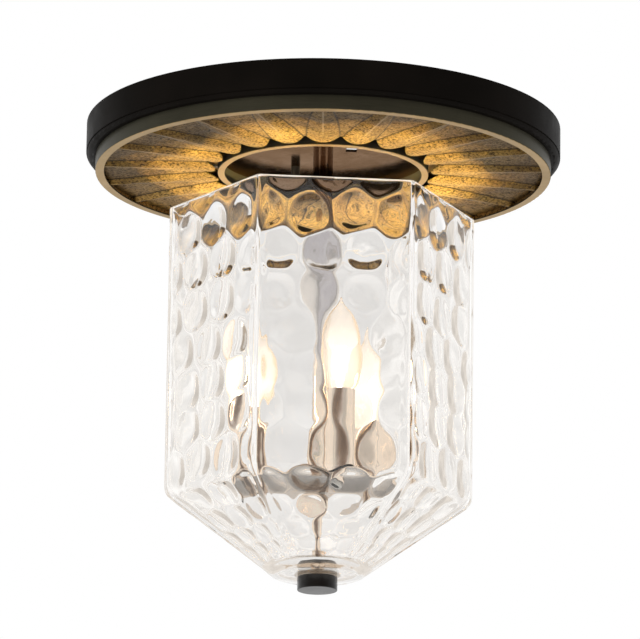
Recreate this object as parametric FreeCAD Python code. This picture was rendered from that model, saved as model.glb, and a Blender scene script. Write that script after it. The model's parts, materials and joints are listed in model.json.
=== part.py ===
import FreeCAD, Part
import math
import os

from FreeCAD import Vector

# Flush-mount porch ceiling lantern, in millimetres.
# The origin is the centre of the ceiling plane, and the whole lantern hangs below it, along -Z.
# The six flats of the glass shade face 30, 90, 150 ... degrees, so its corners lie at 0, 60, 120 ...

# ---------------------------------------------------------------- driving dimensions

# ceiling pan: spun steel
SHEET = 1.2
PAN_RADIUS = 203.0
PAN_WALL = 25.2              # straight part of the wall
PAN_HEM = 5.0                # turned-in edge against the ceiling
PAN_GROOVE = 0.9             # step in at the foot of the wall
PAN_GROOVE_HEIGHT = 0.8
SHOULDER_WIDTH = 5.5         # rounded shoulder between wall and seat
SHOULDER_DROP = 3.0
SEAT_WIDTH = 12.5            # annular seat that carries the band
FLOOR_RISE = 4.2             # raised floor above the seat

# band with its inward lip, below the seat
BAND_INSET = 8.0             # from the pan's outside
BAND_HEIGHT = 12.4
BAND_FLANGE = 11.0           # top flange, screwed to the seat
LIP_WIDTH = 7.4
EDGE_ROUND = 0.8             # rolled outer edge of both lips

# recess cup and plate
CUP_RADIUS = 90.2
CUP_RISE = 0.8               # its lip above the band's
CUP_LIP_WIDTH = 5.8
CUP_FLANGE = 9.0
PLATE_GAP = 0.3              # recess plate to the cup wall
SLOT_WIDTH = 9.4
SLOT_LENGTH = 10.6
SLOT_CENTRE = (21.5, -27.7)
BUSHING_CENTRE = (-21.0, 29.1)
BUSHING_RADIUS = 3.8
BUSHING_BORE = 2.4
BUSHING_DROP = 10.0          # below the recess plate
BUSHING_HEAD_RADIUS = 6.0
BUSHING_HEAD = 2.0

# pleated reflector
FLUTES = 21
FLUTE_PHASE = 264.3          # azimuth of one ridge, degrees
FLUTE_SHEET = 0.9
FLUTE_CUP_GAP = 2.4          # from the cup to the petals
HOOP_INSET = 4.4             # outer face of the hoop, from the band's outside
HOOP_WALL = 1.4
HOOP_HEIGHT = 5.2
RIDGE_DROP = 3.9             # ridge below valley floor at the outer end
RIDGE_HALF_WIDTH = 5.4       # half the ridge's base at the outer end
PETAL_DROP = 2.8             # petal below its cusp at the inner end
PETAL_RISE = 0.7             # petal bottom above the ridge's outer level
PETAL_SHOULDER = 0.22        # share of the petal's drop at its quarter points

# mounting strap, against the ceiling box
STRAP_WIDTH = 22.0
STRAP_SHEET = 2.0
STRAP_LENGTH = 122.0
STRAP_DIP = 8.0              # middle part below the ends
STRAP_MIDDLE = 54.0
BOX_SLOT_SPACING = 79.4      # takes 69.9 and 88.9 mm box screws
BOX_SLOT_RADIUS = 2.3
BOX_SLOT_LENGTH = 14.2
GROUND_SCREW_OFFSET = 19.0
GROUND_SCREW_RADIUS = 2.1
GROUND_SCREW_LENGTH = 9.0
GROUND_HEAD_FLATS = 8.4
GROUND_HEAD = 2.4

# centre rod, nuts and stem
ROD_RADIUS = 4.8
ROD_BORE = 3.1
ROD_TOP = -3.4
ROD_NUT_FLATS = 14.0
ROD_NUT_HEIGHT = 4.2
PAN_NUT_HEIGHT = 5.0
WASHER_RADIUS = 11.0
WASHER_SHEET = 1.0
NUT_CORNER = 0.975           # share of a nut's corners that is left
STEM_RADIUS = 8.5
STEM_WALL = 1.2

# socket plate and what it carries
SOCKETS = 3
SOCKET_PHASE = 280.7         # azimuth of the front socket, degrees
SOCKET_CIRCLE_RADIUS = 60.0  # of the socket centres
SOCKET_PLATE_RADIUS = 65.0
SOCKET_PLATE_SHEET = 3.0
SOCKET_PLATE_RISE = 14.4     # its top above the shade's waist
SOCKET_PLATE_ROUND = 1.0
SLEEVE_RADIUS = 12.5
SLEEVE_WALL = 0.9
SLEEVE_LENGTH = 65.8
NIPPLE_RADIUS = 4.8
NIPPLE_BORE = 3.3
NIPPLE_ABOVE = 15.0          # above the plate
NIPPLE_BELOW = 9.2
NIPPLE_NUT_RADIUS = 6.0
NIPPLE_NUT_HEIGHT = 8.0
NIPPLE_NUT_ROUND = 0.8
SOCKET_BODY_RADIUS = 10.0
SOCKET_BODY_TOP = 8.6        # below the sleeve's top
SOCKET_THREAD_DEPTH = 4.0    # of the nipple in the socket body
SHELL_RADIUS = 6.75
SHELL_WALL = 0.5
SOCKET_CONTACT_RADIUS = 3.2
SOCKET_CONTACT_HEIGHT = 1.6

# bulbs
RUN_GAP = 0.3                # between pieces that move past each other
BULB_RADIUS = 17.5
BULB_VISIBLE = 81.0          # glass above the sleeve's top
BULB_BELLY = 27.5            # widest place above the sleeve's top
BULB_NECK_RADIUS = 6.6
BULB_MOUTH_RADIUS = 11.0     # at the sleeve's top
BULB_NECK = 8.0              # glass below the sleeve's top
BULB_WALL = 0.8
BULB_NUB_RADIUS = 2.0        # sealed tip
BULB_NECK_SWELL = 0.42       # share of the width gained halfway up the neck
BULB_BODY_SWELL = 0.72       # share of the width gained at BULB_BODY_TURN up to the belly
BULB_BODY_TURN = 0.45
BULB_FLAME_SWELL = 0.70      # share of the width left halfway from belly to tip
BASE_RADIUS = 5.95
BASE_LENGTH = 16.0
TIP_RADIUS = 2.8
TIP_HEIGHT = 1.6
FILAMENTS = 4
FILAMENT_RADIUS = 0.8
FILAMENT_LENGTH = 27.0
FILAMENT_CIRCLE_RADIUS = 3.4
FILAMENT_RIM = 0.5           # cap beyond the sticks
FILAMENT_START = 12.0        # above the sleeve's top
GLASS_STEM_RADIUS = 2.2

# glass shade
SHADE_SIDES = 6
SHADE_CORNER_RADIUS = 131.5  # from the axis to a corner
SHADE_CORNER_ROUND = 5.0
SHADE_WALL = 4.5
SHADE_TOP = -75.4
SHADE_BOTTOM = -393.0
SHADE_FUNNEL_HEIGHT = 66.2   # from the foot to the waist, where the walls turn in
SHADE_FOOT_RADIUS = 38.0
SHADE_FOOT_THICKNESS = 6.4
SHADE_HOLE_RADIUS = 5.2
SHADE_INNER_ROUND = 2.6
SHADE_FOOT_CORNERS = 0.16    # share of the round foot that the corners turn into

# lower rod, coupling, collar and finial
COUPLING_RADIUS = 9.5
COUPLING_DROP = 16.0         # its centre below the socket plate
LOWER_ROD_RADIUS = 3.175
LOWER_ROD_END_GAP = 0.8      # above the metal below the insert
COLLAR_RADIUS = 6.0
COLLAR_LENGTH = 14.0
COLLAR_ROUND = 1.0
GASKET_SHEET = 1.8
GASKET_RADIUS = 19.4
FINIAL_RADIUS = 16.9
FINIAL_HEIGHT = 11.4
FINIAL_GAP = 0.4             # below the glass
FINIAL_RECESS_RADIUS = 14.4
FINIAL_EDGE = 0.6
FINIAL_FACE = 1.6            # metal below the threaded insert
UNDER_GASKET_SHEET = 1.4
FINIAL_WASHER_SHEET = 1.1
WASHER_SIDE_GAP = 0.6
INSERT_RADIUS = 5.6
THREAD_GAP = 0.06            # running fit of the finial's thread

# screws that join pan, band and cup
SCREW_RADIUS = 1.5
SCREW_HEAD_RADIUS = 2.8
SCREW_HEAD = 1.9
SCREW_LENGTH = 6.5
SCREW_NUT_FLATS = 5.5
SCREW_NUT = 2.3
BAND_SCREWS = 4
BAND_SCREW_INSET = 6.4       # from the band's outside
CUP_SCREWS = 3
CUP_SCREW_OFFSET = 5.2       # from the cup's outside
CUP_SCREW_PHASE = 40.0
BAND_SCREW_PHASE = 45.0

# ---------------------------------------------------------------- derived places

PAN_SEAT_LEVEL = -(PAN_WALL + PAN_GROOVE_HEIGHT + SHOULDER_DROP)
PAN_FLOOR_LEVEL = PAN_SEAT_LEVEL + FLOOR_RISE
PAN_FLOOR_TOP = PAN_FLOOR_LEVEL + SHEET
PAN_SEAT_TOP = PAN_SEAT_LEVEL + SHEET
SEAT_OUTER = PAN_RADIUS - PAN_GROOVE - SHOULDER_WIDTH
SEAT_INNER = SEAT_OUTER - SEAT_WIDTH
BAND_RADIUS = PAN_RADIUS - BAND_INSET
BAND_BOTTOM = PAN_SEAT_LEVEL - BAND_HEIGHT
BAND_SCREW_CIRCLE = BAND_RADIUS - BAND_SCREW_INSET
HOOP_RADIUS = BAND_RADIUS - HOOP_INSET
FLUTE_INNER_RADIUS = CUP_RADIUS + FLUTE_CUP_GAP
CUP_BOTTOM = BAND_BOTTOM + CUP_RISE
CUP_SCREW_CIRCLE = CUP_RADIUS + CUP_SCREW_OFFSET
RECESS_PLATE_BOTTOM = PAN_FLOOR_LEVEL - SHEET
RECESS_PLATE_RADIUS = CUP_RADIUS - SHEET - PLATE_GAP
LIP_TOP = BAND_BOTTOM + SHEET
SHADE_WAIST = SHADE_BOTTOM + SHADE_FUNNEL_HEIGHT
SHADE_CORNER_ANGLE = 180.0 / SHADE_SIDES
CORNER_TO_FLAT = math.cos(math.radians(SHADE_CORNER_ANGLE))
SOCKET_PLATE_TOP = SHADE_WAIST + SOCKET_PLATE_RISE
SOCKET_PLATE_BOTTOM = SOCKET_PLATE_TOP - SOCKET_PLATE_SHEET
COUPLING_LEVEL = SOCKET_PLATE_BOTTOM - COUPLING_DROP
SLEEVE_TOP = SOCKET_PLATE_TOP + SLEEVE_LENGTH
SOCKET_TOP = SLEEVE_TOP - SOCKET_BODY_TOP
SOCKET_BOTTOM = SOCKET_PLATE_TOP + NIPPLE_ABOVE - SOCKET_THREAD_DEPTH
SHELL_BORE = SHELL_RADIUS - SHELL_WALL
BASE_TOP = SLEEVE_TOP - BULB_NECK
BASE_BOTTOM = BASE_TOP - BASE_LENGTH
TIP_TOP = BASE_BOTTOM - RUN_GAP
TIP_BOTTOM = TIP_TOP - TIP_HEIGHT
SOCKET_CONTACT_TOP = TIP_BOTTOM - RUN_GAP
SOCKET_WELL = SOCKET_CONTACT_TOP - SOCKET_CONTACT_HEIGHT
SHADE_FLOOR = SHADE_BOTTOM + SHADE_FOOT_THICKNESS
COLLAR_BOTTOM = SHADE_FLOOR + GASKET_SHEET + RUN_GAP
FINIAL_TOP = SHADE_BOTTOM - FINIAL_GAP
FINIAL_BOTTOM = FINIAL_TOP - FINIAL_HEIGHT
LOWER_ROD_END = FINIAL_BOTTOM + FINIAL_FACE + LOWER_ROD_END_GAP
UNDER_GASKET_BOTTOM = SHADE_BOTTOM - UNDER_GASKET_SHEET
FINIAL_WASHER_TOP = UNDER_GASKET_BOTTOM - RUN_GAP
FINIAL_WASHER_BOTTOM = FINIAL_WASHER_TOP - FINIAL_WASHER_SHEET
FINIAL_FLOOR = FINIAL_WASHER_BOTTOM - RUN_GAP
LOWER_ROD_CLEARANCE = LOWER_ROD_RADIUS + RUN_GAP
WASHER_OUTER = FINIAL_RECESS_RADIUS - WASHER_SIDE_GAP

UP = Vector(0, 0, 1)
ORIGIN = Vector(0, 0, 0)
SQRT3 = math.sqrt(3.0)

# ---------------------------------------------------------------- helpers


def polar(radius, degrees, z=0.0):
    """Return the point at a radius and azimuth round the lantern's axis."""
    angle = math.radians(degrees)
    return Vector(radius * math.cos(angle), radius * math.sin(angle), z)


def azimuths(count, phase=0.0):
    """Return evenly spaced azimuths in degrees."""
    return [phase + 360.0 * index / count for index in range(count)]


def rod(radius, low, high, centre=(0.0, 0.0)):
    """Return an upright solid cylinder between two levels."""
    return Part.makeCylinder(radius, high - low, Vector(centre[0], centre[1], low))


def ring(inner, outer, low, high, centre=(0.0, 0.0)):
    """Return an upright tube between two levels."""
    return rod(outer, low, high, centre).cut(rod(inner, low, high, centre))


def outline(start, *steps):
    """Return a closed wire in the XZ plane. A step is a point, or (middle, end) of an arc."""
    edges = []
    last = Vector(start[0], 0, start[1])
    for step in steps + (start,):
        if isinstance(step[0], tuple):
            middle = Vector(step[0][0], 0, step[0][1])
            end = Vector(step[1][0], 0, step[1][1])
            edges.append(Part.Arc(last, middle, end).toShape())
        else:
            end = Vector(step[0], 0, step[1])
            edges.append(Part.LineSegment(last, end).toShape())
        last = end
    return Part.Wire(edges)


def turned(start, *steps):
    """Return the solid that an outline of (radius, level) points makes when turned about Z."""
    face = Part.Face(outline(start, *steps))
    solid = face.revolve(ORIGIN, UP, 360)
    return Part.makeSolid(solid) if solid.ShapeType != "Solid" else solid


def quarter(centre_radius, centre_level, radius, from_degrees, to_degrees):
    """Return (middle, end) of an arc round a centre in the (radius, level) plane."""
    points = []
    for degrees in ((from_degrees + to_degrees) / 2, to_degrees):
        angle = math.radians(degrees)
        points.append((centre_radius + radius * math.cos(angle), centre_level + radius * math.sin(angle)))
    return tuple(points)


def hex_bar(flats, low, high, centre=(0.0, 0.0)):
    """Return an upright hexagonal bar with its six corners taken off."""
    corner = flats / SQRT3
    points = [polar(corner, degrees, low) + Vector(centre[0], centre[1], 0) for degrees in azimuths(6)]
    prism = Part.Face(Part.makePolygon(points + points[:1])).extrude(Vector(0, 0, high - low))
    return prism.common(rod(corner * NUT_CORNER, low, high, centre))


def hex_nut(flats, low, high, bore, centre=(0.0, 0.0)):
    """Return a hexagonal nut with a round hole."""
    return hex_bar(flats, low, high, centre).cut(rod(bore, low, high, centre))


def place(degrees, radius=SOCKET_CIRCLE_RADIUS):
    """Return the plan position of a piece on a circle round the axis."""
    point = polar(radius, degrees)
    return (point.x, point.y)


def save(name, shapes):
    """Write one sub-part: one solid, or a list of separate ones."""
    shape = Part.makeCompound(shapes) if isinstance(shapes, list) else shapes
    shape.exportStep("parts/" + name + ".step")
    print(name, len(shape.Solids), "solid(s), valid", shape.isValid())


# ---------------------------------------------------------------- canopy


def bushing_hole(low, high):
    return rod(BUSHING_RADIUS, low, high, BUSHING_CENTRE)


def recess_slot(low, high):
    corner = Vector(SLOT_CENTRE[0] - SLOT_WIDTH / 2, SLOT_CENTRE[1] - SLOT_LENGTH / 2, low)
    return Part.makeBox(SLOT_WIDTH, SLOT_LENGTH, high - low, corner)


def make_ceiling_pan():
    wall_in = PAN_RADIUS - SHEET
    groove_out = PAN_RADIUS - PAN_GROOVE
    wall_foot = -PAN_WALL
    groove_foot = wall_foot - PAN_GROOVE_HEIGHT
    shoulder_mid = (
        SEAT_OUTER + SHOULDER_WIDTH * math.cos(math.radians(45)),
        groove_foot - SHOULDER_DROP * math.sin(math.radians(45)),
    )
    body = turned(
        (PAN_RADIUS, 0),
        (PAN_RADIUS, wall_foot),
        (groove_out, wall_foot),
        (groove_out, groove_foot),
        (shoulder_mid, (SEAT_OUTER, PAN_SEAT_LEVEL)),
        (SEAT_INNER, PAN_SEAT_LEVEL),
        (SEAT_INNER, PAN_FLOOR_LEVEL),
        (ROD_RADIUS + PLATE_GAP, PAN_FLOOR_LEVEL),
        (ROD_RADIUS + PLATE_GAP, PAN_FLOOR_TOP),
        (SEAT_INNER + SHEET, PAN_FLOOR_TOP),
        (SEAT_INNER + SHEET, PAN_SEAT_TOP),
        (SEAT_OUTER, PAN_SEAT_TOP),
        (groove_out - SHEET, groove_foot),
        (groove_out - SHEET, wall_foot + SHEET),
        (wall_in, wall_foot + SHEET),
        (wall_in, -SHEET),
        (PAN_RADIUS - PAN_HEM, -SHEET),
        (PAN_RADIUS - PAN_HEM, 0),
    )
    body = body.cut(bushing_hole(PAN_FLOOR_LEVEL, PAN_FLOOR_TOP))
    body = body.cut(recess_slot(PAN_FLOOR_LEVEL, PAN_FLOOR_TOP))
    for degrees in azimuths(BAND_SCREWS, BAND_SCREW_PHASE):
        body = body.cut(rod(SCREW_RADIUS, PAN_SEAT_LEVEL, PAN_SEAT_TOP, place(degrees, BAND_SCREW_CIRCLE)))
    for degrees in azimuths(CUP_SCREWS, CUP_SCREW_PHASE):
        body = body.cut(rod(SCREW_RADIUS, PAN_FLOOR_LEVEL, PAN_FLOOR_TOP, place(degrees, CUP_SCREW_CIRCLE)))
    return body


def make_tray_band():
    top = PAN_SEAT_LEVEL
    inside = BAND_RADIUS - SHEET
    body = turned(
        (BAND_RADIUS, top),
        (BAND_RADIUS, BAND_BOTTOM + EDGE_ROUND),
        quarter(BAND_RADIUS - EDGE_ROUND, BAND_BOTTOM + EDGE_ROUND, EDGE_ROUND, 0, -90),
        (BAND_RADIUS - LIP_WIDTH, BAND_BOTTOM),
        (BAND_RADIUS - LIP_WIDTH, LIP_TOP),
        (inside, LIP_TOP),
        (inside, top - SHEET),
        (BAND_RADIUS - BAND_FLANGE, top - SHEET),
        (BAND_RADIUS - BAND_FLANGE, top),
    )
    for degrees in azimuths(BAND_SCREWS, BAND_SCREW_PHASE):
        body = body.cut(rod(SCREW_RADIUS, top - SHEET, top, place(degrees, BAND_SCREW_CIRCLE)))
    return body


def make_recess_cup():
    top = PAN_FLOOR_LEVEL
    inside = CUP_RADIUS - SHEET
    lip_top = CUP_BOTTOM + SHEET
    body = turned(
        (CUP_RADIUS + CUP_FLANGE, top),
        (CUP_RADIUS + CUP_FLANGE, top - SHEET),
        (CUP_RADIUS, top - SHEET),
        (CUP_RADIUS, CUP_BOTTOM + EDGE_ROUND),
        quarter(CUP_RADIUS - EDGE_ROUND, CUP_BOTTOM + EDGE_ROUND, EDGE_ROUND, 0, -90),
        (CUP_RADIUS - CUP_LIP_WIDTH, CUP_BOTTOM),
        (CUP_RADIUS - CUP_LIP_WIDTH, lip_top),
        (inside, lip_top),
        (inside, top),
    )
    for degrees in azimuths(CUP_SCREWS, CUP_SCREW_PHASE):
        body = body.cut(rod(SCREW_RADIUS, top - SHEET, top, place(degrees, CUP_SCREW_CIRCLE)))
    return body


def make_recess_plate():
    low = RECESS_PLATE_BOTTOM
    high = PAN_FLOOR_LEVEL
    body = ring(ROD_RADIUS + PLATE_GAP, RECESS_PLATE_RADIUS, low, high)
    return body.cut(bushing_hole(low, high)).cut(recess_slot(low, high))


def make_lead_bushing():
    shank = rod(BUSHING_RADIUS, RECESS_PLATE_BOTTOM - BUSHING_DROP, PAN_FLOOR_TOP, BUSHING_CENTRE)
    head = rod(BUSHING_HEAD_RADIUS, PAN_FLOOR_TOP, PAN_FLOOR_TOP + BUSHING_HEAD, BUSHING_CENTRE)
    bore = rod(
        BUSHING_BORE,
        RECESS_PLATE_BOTTOM - BUSHING_DROP,
        PAN_FLOOR_TOP + BUSHING_HEAD,
        BUSHING_CENTRE,
    )
    return shank.fuse(head).cut(bore)


def screw_down(centre, head_bottom):
    """Return a pan-head screw whose head stands on a level and whose shank points down."""
    head = rod(SCREW_HEAD_RADIUS, head_bottom, head_bottom + SCREW_HEAD, centre)
    return head.fuse(rod(SCREW_RADIUS, head_bottom - SCREW_LENGTH, head_bottom, centre))


def screw_up(centre, head_top):
    """Return the same screw with its head below a level and its shank pointing up."""
    head = rod(SCREW_HEAD_RADIUS, head_top - SCREW_HEAD, head_top, centre)
    return head.fuse(rod(SCREW_RADIUS, head_top, head_top + SCREW_LENGTH, centre))


# ---------------------------------------------------------------- pleated reflector


def triangle(a, b, c):
    return Part.Face(Part.makePolygon([a, b, c, a]))


def pleat_sheet(lift):
    """Return the facets of the pleated sheet, raised by lift, with its inner and outer boundary points.

    A flute is a ridge that is narrow at the outer end and a wide rounded petal at the inner end.
    Between two ridges lies a flat valley, wide outside, which ends in a cusp between two petals.
    """
    outer_radius = HOOP_RADIUS - HOOP_WALL / 2
    ridge_level = LIP_TOP + lift
    floor_level = ridge_level + RIDGE_DROP
    petal_level = ridge_level + PETAL_RISE
    cusp_level = petal_level + PETAL_DROP
    shoulder_level = petal_level + PETAL_DROP * PETAL_SHOULDER
    pitch = 360.0 / FLUTES
    foot = math.degrees(RIDGE_HALF_WIDTH / outer_radius)
    facets = []
    inner_points = []
    outer_points = []
    for middle in azimuths(FLUTES, FLUTE_PHASE):
        cusp_a = polar(FLUTE_INNER_RADIUS, middle - pitch / 2, cusp_level)
        side_a = polar(FLUTE_INNER_RADIUS, middle - pitch / 4, shoulder_level)
        petal = polar(FLUTE_INNER_RADIUS, middle, petal_level)
        side_b = polar(FLUTE_INNER_RADIUS, middle + pitch / 4, shoulder_level)
        cusp_b = polar(FLUTE_INNER_RADIUS, middle + pitch / 2, cusp_level)
        foot_a = polar(outer_radius, middle - foot, floor_level)
        ridge = polar(outer_radius, middle, ridge_level)
        foot_b = polar(outer_radius, middle + foot, floor_level)
        next_foot = polar(outer_radius, middle + pitch - foot, floor_level)
        facets.append(triangle(foot_a, cusp_a, side_a))
        facets.append(triangle(foot_a, side_a, ridge))
        facets.append(triangle(ridge, side_a, petal))
        facets.append(triangle(ridge, petal, side_b))
        facets.append(triangle(ridge, side_b, foot_b))
        facets.append(triangle(foot_b, side_b, cusp_b))
        facets.append(triangle(foot_b, cusp_b, next_foot))
        inner_points += [cusp_a, side_a, petal, side_b]
        outer_points += [foot_a, ridge, foot_b]
    return facets, inner_points, outer_points


def edge_strip(low_points, high_points):
    """Return upright triangles that close the sheet along one boundary."""
    facets = []
    count = len(low_points)
    for index in range(count):
        after = (index + 1) % count
        facets.append(triangle(low_points[index], low_points[after], high_points[index]))
        facets.append(triangle(low_points[after], high_points[after], high_points[index]))
    return facets


def make_pleated_reflector():
    low_facets, low_inner, low_outer = pleat_sheet(0.0)
    high_facets, high_inner, high_outer = pleat_sheet(FLUTE_SHEET)
    facets = low_facets + high_facets + edge_strip(low_inner, high_inner) + edge_strip(low_outer, high_outer)
    shell = Part.makeShell(facets)
    sheet = Part.makeSolid(shell)
    if sheet.Volume < 0:
        sheet.reverse()
    hoop = ring(HOOP_RADIUS - HOOP_WALL, HOOP_RADIUS, LIP_TOP, LIP_TOP + HOOP_HEIGHT)
    return sheet.fuse(hoop).removeSplitter()


# ---------------------------------------------------------------- strap, centre rod and stem


def make_mounting_strap():
    half = STRAP_LENGTH / 2
    half_middle = STRAP_MIDDLE / 2
    low = -STRAP_DIP - STRAP_SHEET
    points = [
        (-half, 0),
        (-half_middle, 0),
        (-half_middle + STRAP_SHEET, -STRAP_DIP),
        (half_middle - STRAP_SHEET, -STRAP_DIP),
        (half_middle, 0),
        (half, 0),
        (half, -STRAP_SHEET),
        (half_middle + STRAP_SHEET, -STRAP_SHEET),
        (half_middle, low),
        (-half_middle, low),
        (-half_middle - STRAP_SHEET, -STRAP_SHEET),
        (-half, -STRAP_SHEET),
    ]
    wire = Part.makePolygon([Vector(x, -STRAP_WIDTH / 2, z) for x, z in points + points[:1]])
    body = Part.Face(wire).extrude(Vector(0, STRAP_WIDTH, 0))
    body = body.cut(rod(ROD_RADIUS + PLATE_GAP, low, -STRAP_DIP))
    body = body.cut(rod(GROUND_SCREW_RADIUS, low, -STRAP_DIP, (GROUND_SCREW_OFFSET, 0)))
    half_run = BOX_SLOT_LENGTH / 2 - BOX_SLOT_RADIUS
    for side in (-1, 1):
        centre = side * BOX_SLOT_SPACING / 2
        corner = Vector(centre - half_run, -BOX_SLOT_RADIUS, -STRAP_SHEET)
        slot = Part.makeBox(2 * half_run, 2 * BOX_SLOT_RADIUS, STRAP_SHEET, corner)
        for end in (-half_run, half_run):
            slot = slot.fuse(rod(BOX_SLOT_RADIUS, -STRAP_SHEET, 0, (centre + end, 0)))
        body = body.cut(slot)
    return body


def make_ground_screw():
    head_top = -STRAP_DIP - STRAP_SHEET
    centre = (GROUND_SCREW_OFFSET, 0)
    head = hex_bar(GROUND_HEAD_FLATS, head_top - GROUND_HEAD, head_top, centre)
    return head.fuse(rod(GROUND_SCREW_RADIUS, head_top, head_top + GROUND_SCREW_LENGTH, centre))


def make_center_rod():
    return ring(ROD_BORE, ROD_RADIUS, COUPLING_LEVEL + LOWER_ROD_RADIUS, ROD_TOP)


def make_strap_nuts():
    above = -STRAP_DIP
    below = -STRAP_DIP - STRAP_SHEET
    return [
        hex_nut(ROD_NUT_FLATS, above, above + ROD_NUT_HEIGHT, ROD_RADIUS),
        hex_nut(ROD_NUT_FLATS, below - ROD_NUT_HEIGHT, below, ROD_RADIUS),
    ]


def make_pan_washer():
    return ring(ROD_RADIUS, WASHER_RADIUS, PAN_FLOOR_TOP, PAN_FLOOR_TOP + WASHER_SHEET)


def make_pan_nut():
    low = PAN_FLOOR_TOP + WASHER_SHEET
    return hex_nut(ROD_NUT_FLATS, low, low + PAN_NUT_HEIGHT, ROD_RADIUS)


def make_stem():
    return ring(STEM_RADIUS - STEM_WALL, STEM_RADIUS, SOCKET_PLATE_TOP, RECESS_PLATE_BOTTOM)


# ---------------------------------------------------------------- socket plate and sockets


def make_socket_plate():
    low = SOCKET_PLATE_BOTTOM
    high = SOCKET_PLATE_TOP
    edge = SOCKET_PLATE_RADIUS
    soft = SOCKET_PLATE_ROUND
    body = turned(
        (ROD_RADIUS, low),
        (edge - soft, low),
        quarter(edge - soft, low + soft, soft, -90, 0),
        (edge, high - soft),
        quarter(edge - soft, high - soft, soft, 0, 90),
        (ROD_RADIUS, high),
    )
    for degrees in azimuths(SOCKETS, SOCKET_PHASE):
        body = body.cut(rod(NIPPLE_RADIUS, low, high, place(degrees)))
    return body


def make_plate_nut():
    return hex_nut(ROD_NUT_FLATS, SOCKET_PLATE_BOTTOM - PAN_NUT_HEIGHT, SOCKET_PLATE_BOTTOM, ROD_RADIUS)


def make_socket_nipple(degrees):
    low = SOCKET_PLATE_BOTTOM - NIPPLE_BELOW
    return ring(NIPPLE_BORE, NIPPLE_RADIUS, low, SOCKET_PLATE_TOP + NIPPLE_ABOVE, place(degrees))


def make_nipple_nut(degrees):
    low = SOCKET_PLATE_BOTTOM - NIPPLE_NUT_HEIGHT
    body = turned(
        (NIPPLE_RADIUS, low),
        (NIPPLE_NUT_RADIUS - NIPPLE_NUT_ROUND, low),
        quarter(NIPPLE_NUT_RADIUS - NIPPLE_NUT_ROUND, low + NIPPLE_NUT_ROUND, NIPPLE_NUT_ROUND, -90, 0),
        (NIPPLE_NUT_RADIUS, SOCKET_PLATE_BOTTOM),
        (NIPPLE_RADIUS, SOCKET_PLATE_BOTTOM),
    )
    x, y = place(degrees)
    body.translate(Vector(x, y, 0))
    return body


def make_socket_body(degrees):
    centre = place(degrees)
    body = rod(SOCKET_BODY_RADIUS, SOCKET_BOTTOM, SOCKET_TOP, centre)
    body = body.cut(rod(SHELL_RADIUS, SOCKET_WELL, SOCKET_TOP, centre))
    return body.cut(rod(NIPPLE_RADIUS, SOCKET_BOTTOM, SOCKET_PLATE_TOP + NIPPLE_ABOVE, centre))


def make_socket_shell(degrees):
    return ring(SHELL_BORE, SHELL_RADIUS, SOCKET_WELL, SOCKET_TOP, place(degrees))


def make_socket_contact(degrees):
    return rod(SOCKET_CONTACT_RADIUS, SOCKET_WELL, SOCKET_CONTACT_TOP, place(degrees))


def make_candle_sleeve(degrees):
    return ring(SLEEVE_RADIUS - SLEEVE_WALL, SLEEVE_RADIUS, SOCKET_PLATE_TOP, SLEEVE_TOP, place(degrees))


# ---------------------------------------------------------------- bulbs


def bulb_profile(shrink, low):
    """Return a flame-shaped solid of turned arcs on the Z axis, drawn in by shrink."""
    tip = SLEEVE_TOP + BULB_VISIBLE - shrink
    belly = BULB_RADIUS - shrink
    belly_level = SLEEVE_TOP + BULB_BELLY
    mouth = BULB_MOUTH_RADIUS - shrink
    neck = BULB_NECK_RADIUS - shrink
    nub = BULB_NUB_RADIUS
    nub_level = tip - nub
    rise = nub_level - belly_level
    return turned(
        (0, low),
        (neck, low),
        ((neck + (mouth - neck) * BULB_NECK_SWELL, (low + SLEEVE_TOP) / 2), (mouth, SLEEVE_TOP)),
        (
            (mouth + (belly - mouth) * BULB_BODY_SWELL, SLEEVE_TOP + BULB_BELLY * BULB_BODY_TURN),
            (belly, belly_level),
        ),
        ((nub + (belly - nub) * BULB_FLAME_SWELL, belly_level + rise / 2), (nub, nub_level)),
        quarter(0, nub_level, nub, 0, 90),
    )


def make_bulb_glass(degrees):
    outer = bulb_profile(0.0, BASE_TOP)
    inner = bulb_profile(BULB_WALL, BASE_TOP)
    body = outer.cut(inner)
    x, y = place(degrees)
    body.translate(Vector(x, y, 0))
    return body


def make_bulb_base(degrees):
    centre = place(degrees)
    collar = BULB_NECK_RADIUS - BULB_WALL
    shell = rod(BASE_RADIUS, BASE_BOTTOM, BASE_TOP, centre)
    return shell.cut(rod(collar - BULB_WALL, BASE_TOP - BULB_WALL, BASE_TOP, centre))


def make_bulb_filament(degrees):
    x, y = place(degrees)
    stem = rod(GLASS_STEM_RADIUS, BASE_TOP - BULB_WALL, SLEEVE_TOP + FILAMENT_START, (x, y))
    cap_radius = FILAMENT_CIRCLE_RADIUS + FILAMENT_RADIUS + FILAMENT_RIM
    foot = SLEEVE_TOP + FILAMENT_START
    body = stem.fuse(rod(cap_radius, foot, foot + FILAMENT_RADIUS, (x, y)))
    for turn in azimuths(FILAMENTS, degrees):
        point = polar(FILAMENT_CIRCLE_RADIUS, turn)
        stick = rod(FILAMENT_RADIUS, foot, foot + FILAMENT_LENGTH, (x + point.x, y + point.y))
        body = body.fuse(stick)
    top = foot + FILAMENT_LENGTH
    return body.fuse(rod(cap_radius, top, top + FILAMENT_RADIUS, (x, y)))


def make_bulb_contact(degrees):
    return rod(TIP_RADIUS, TIP_BOTTOM, TIP_TOP, place(degrees))


# ---------------------------------------------------------------- glass shade


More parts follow.
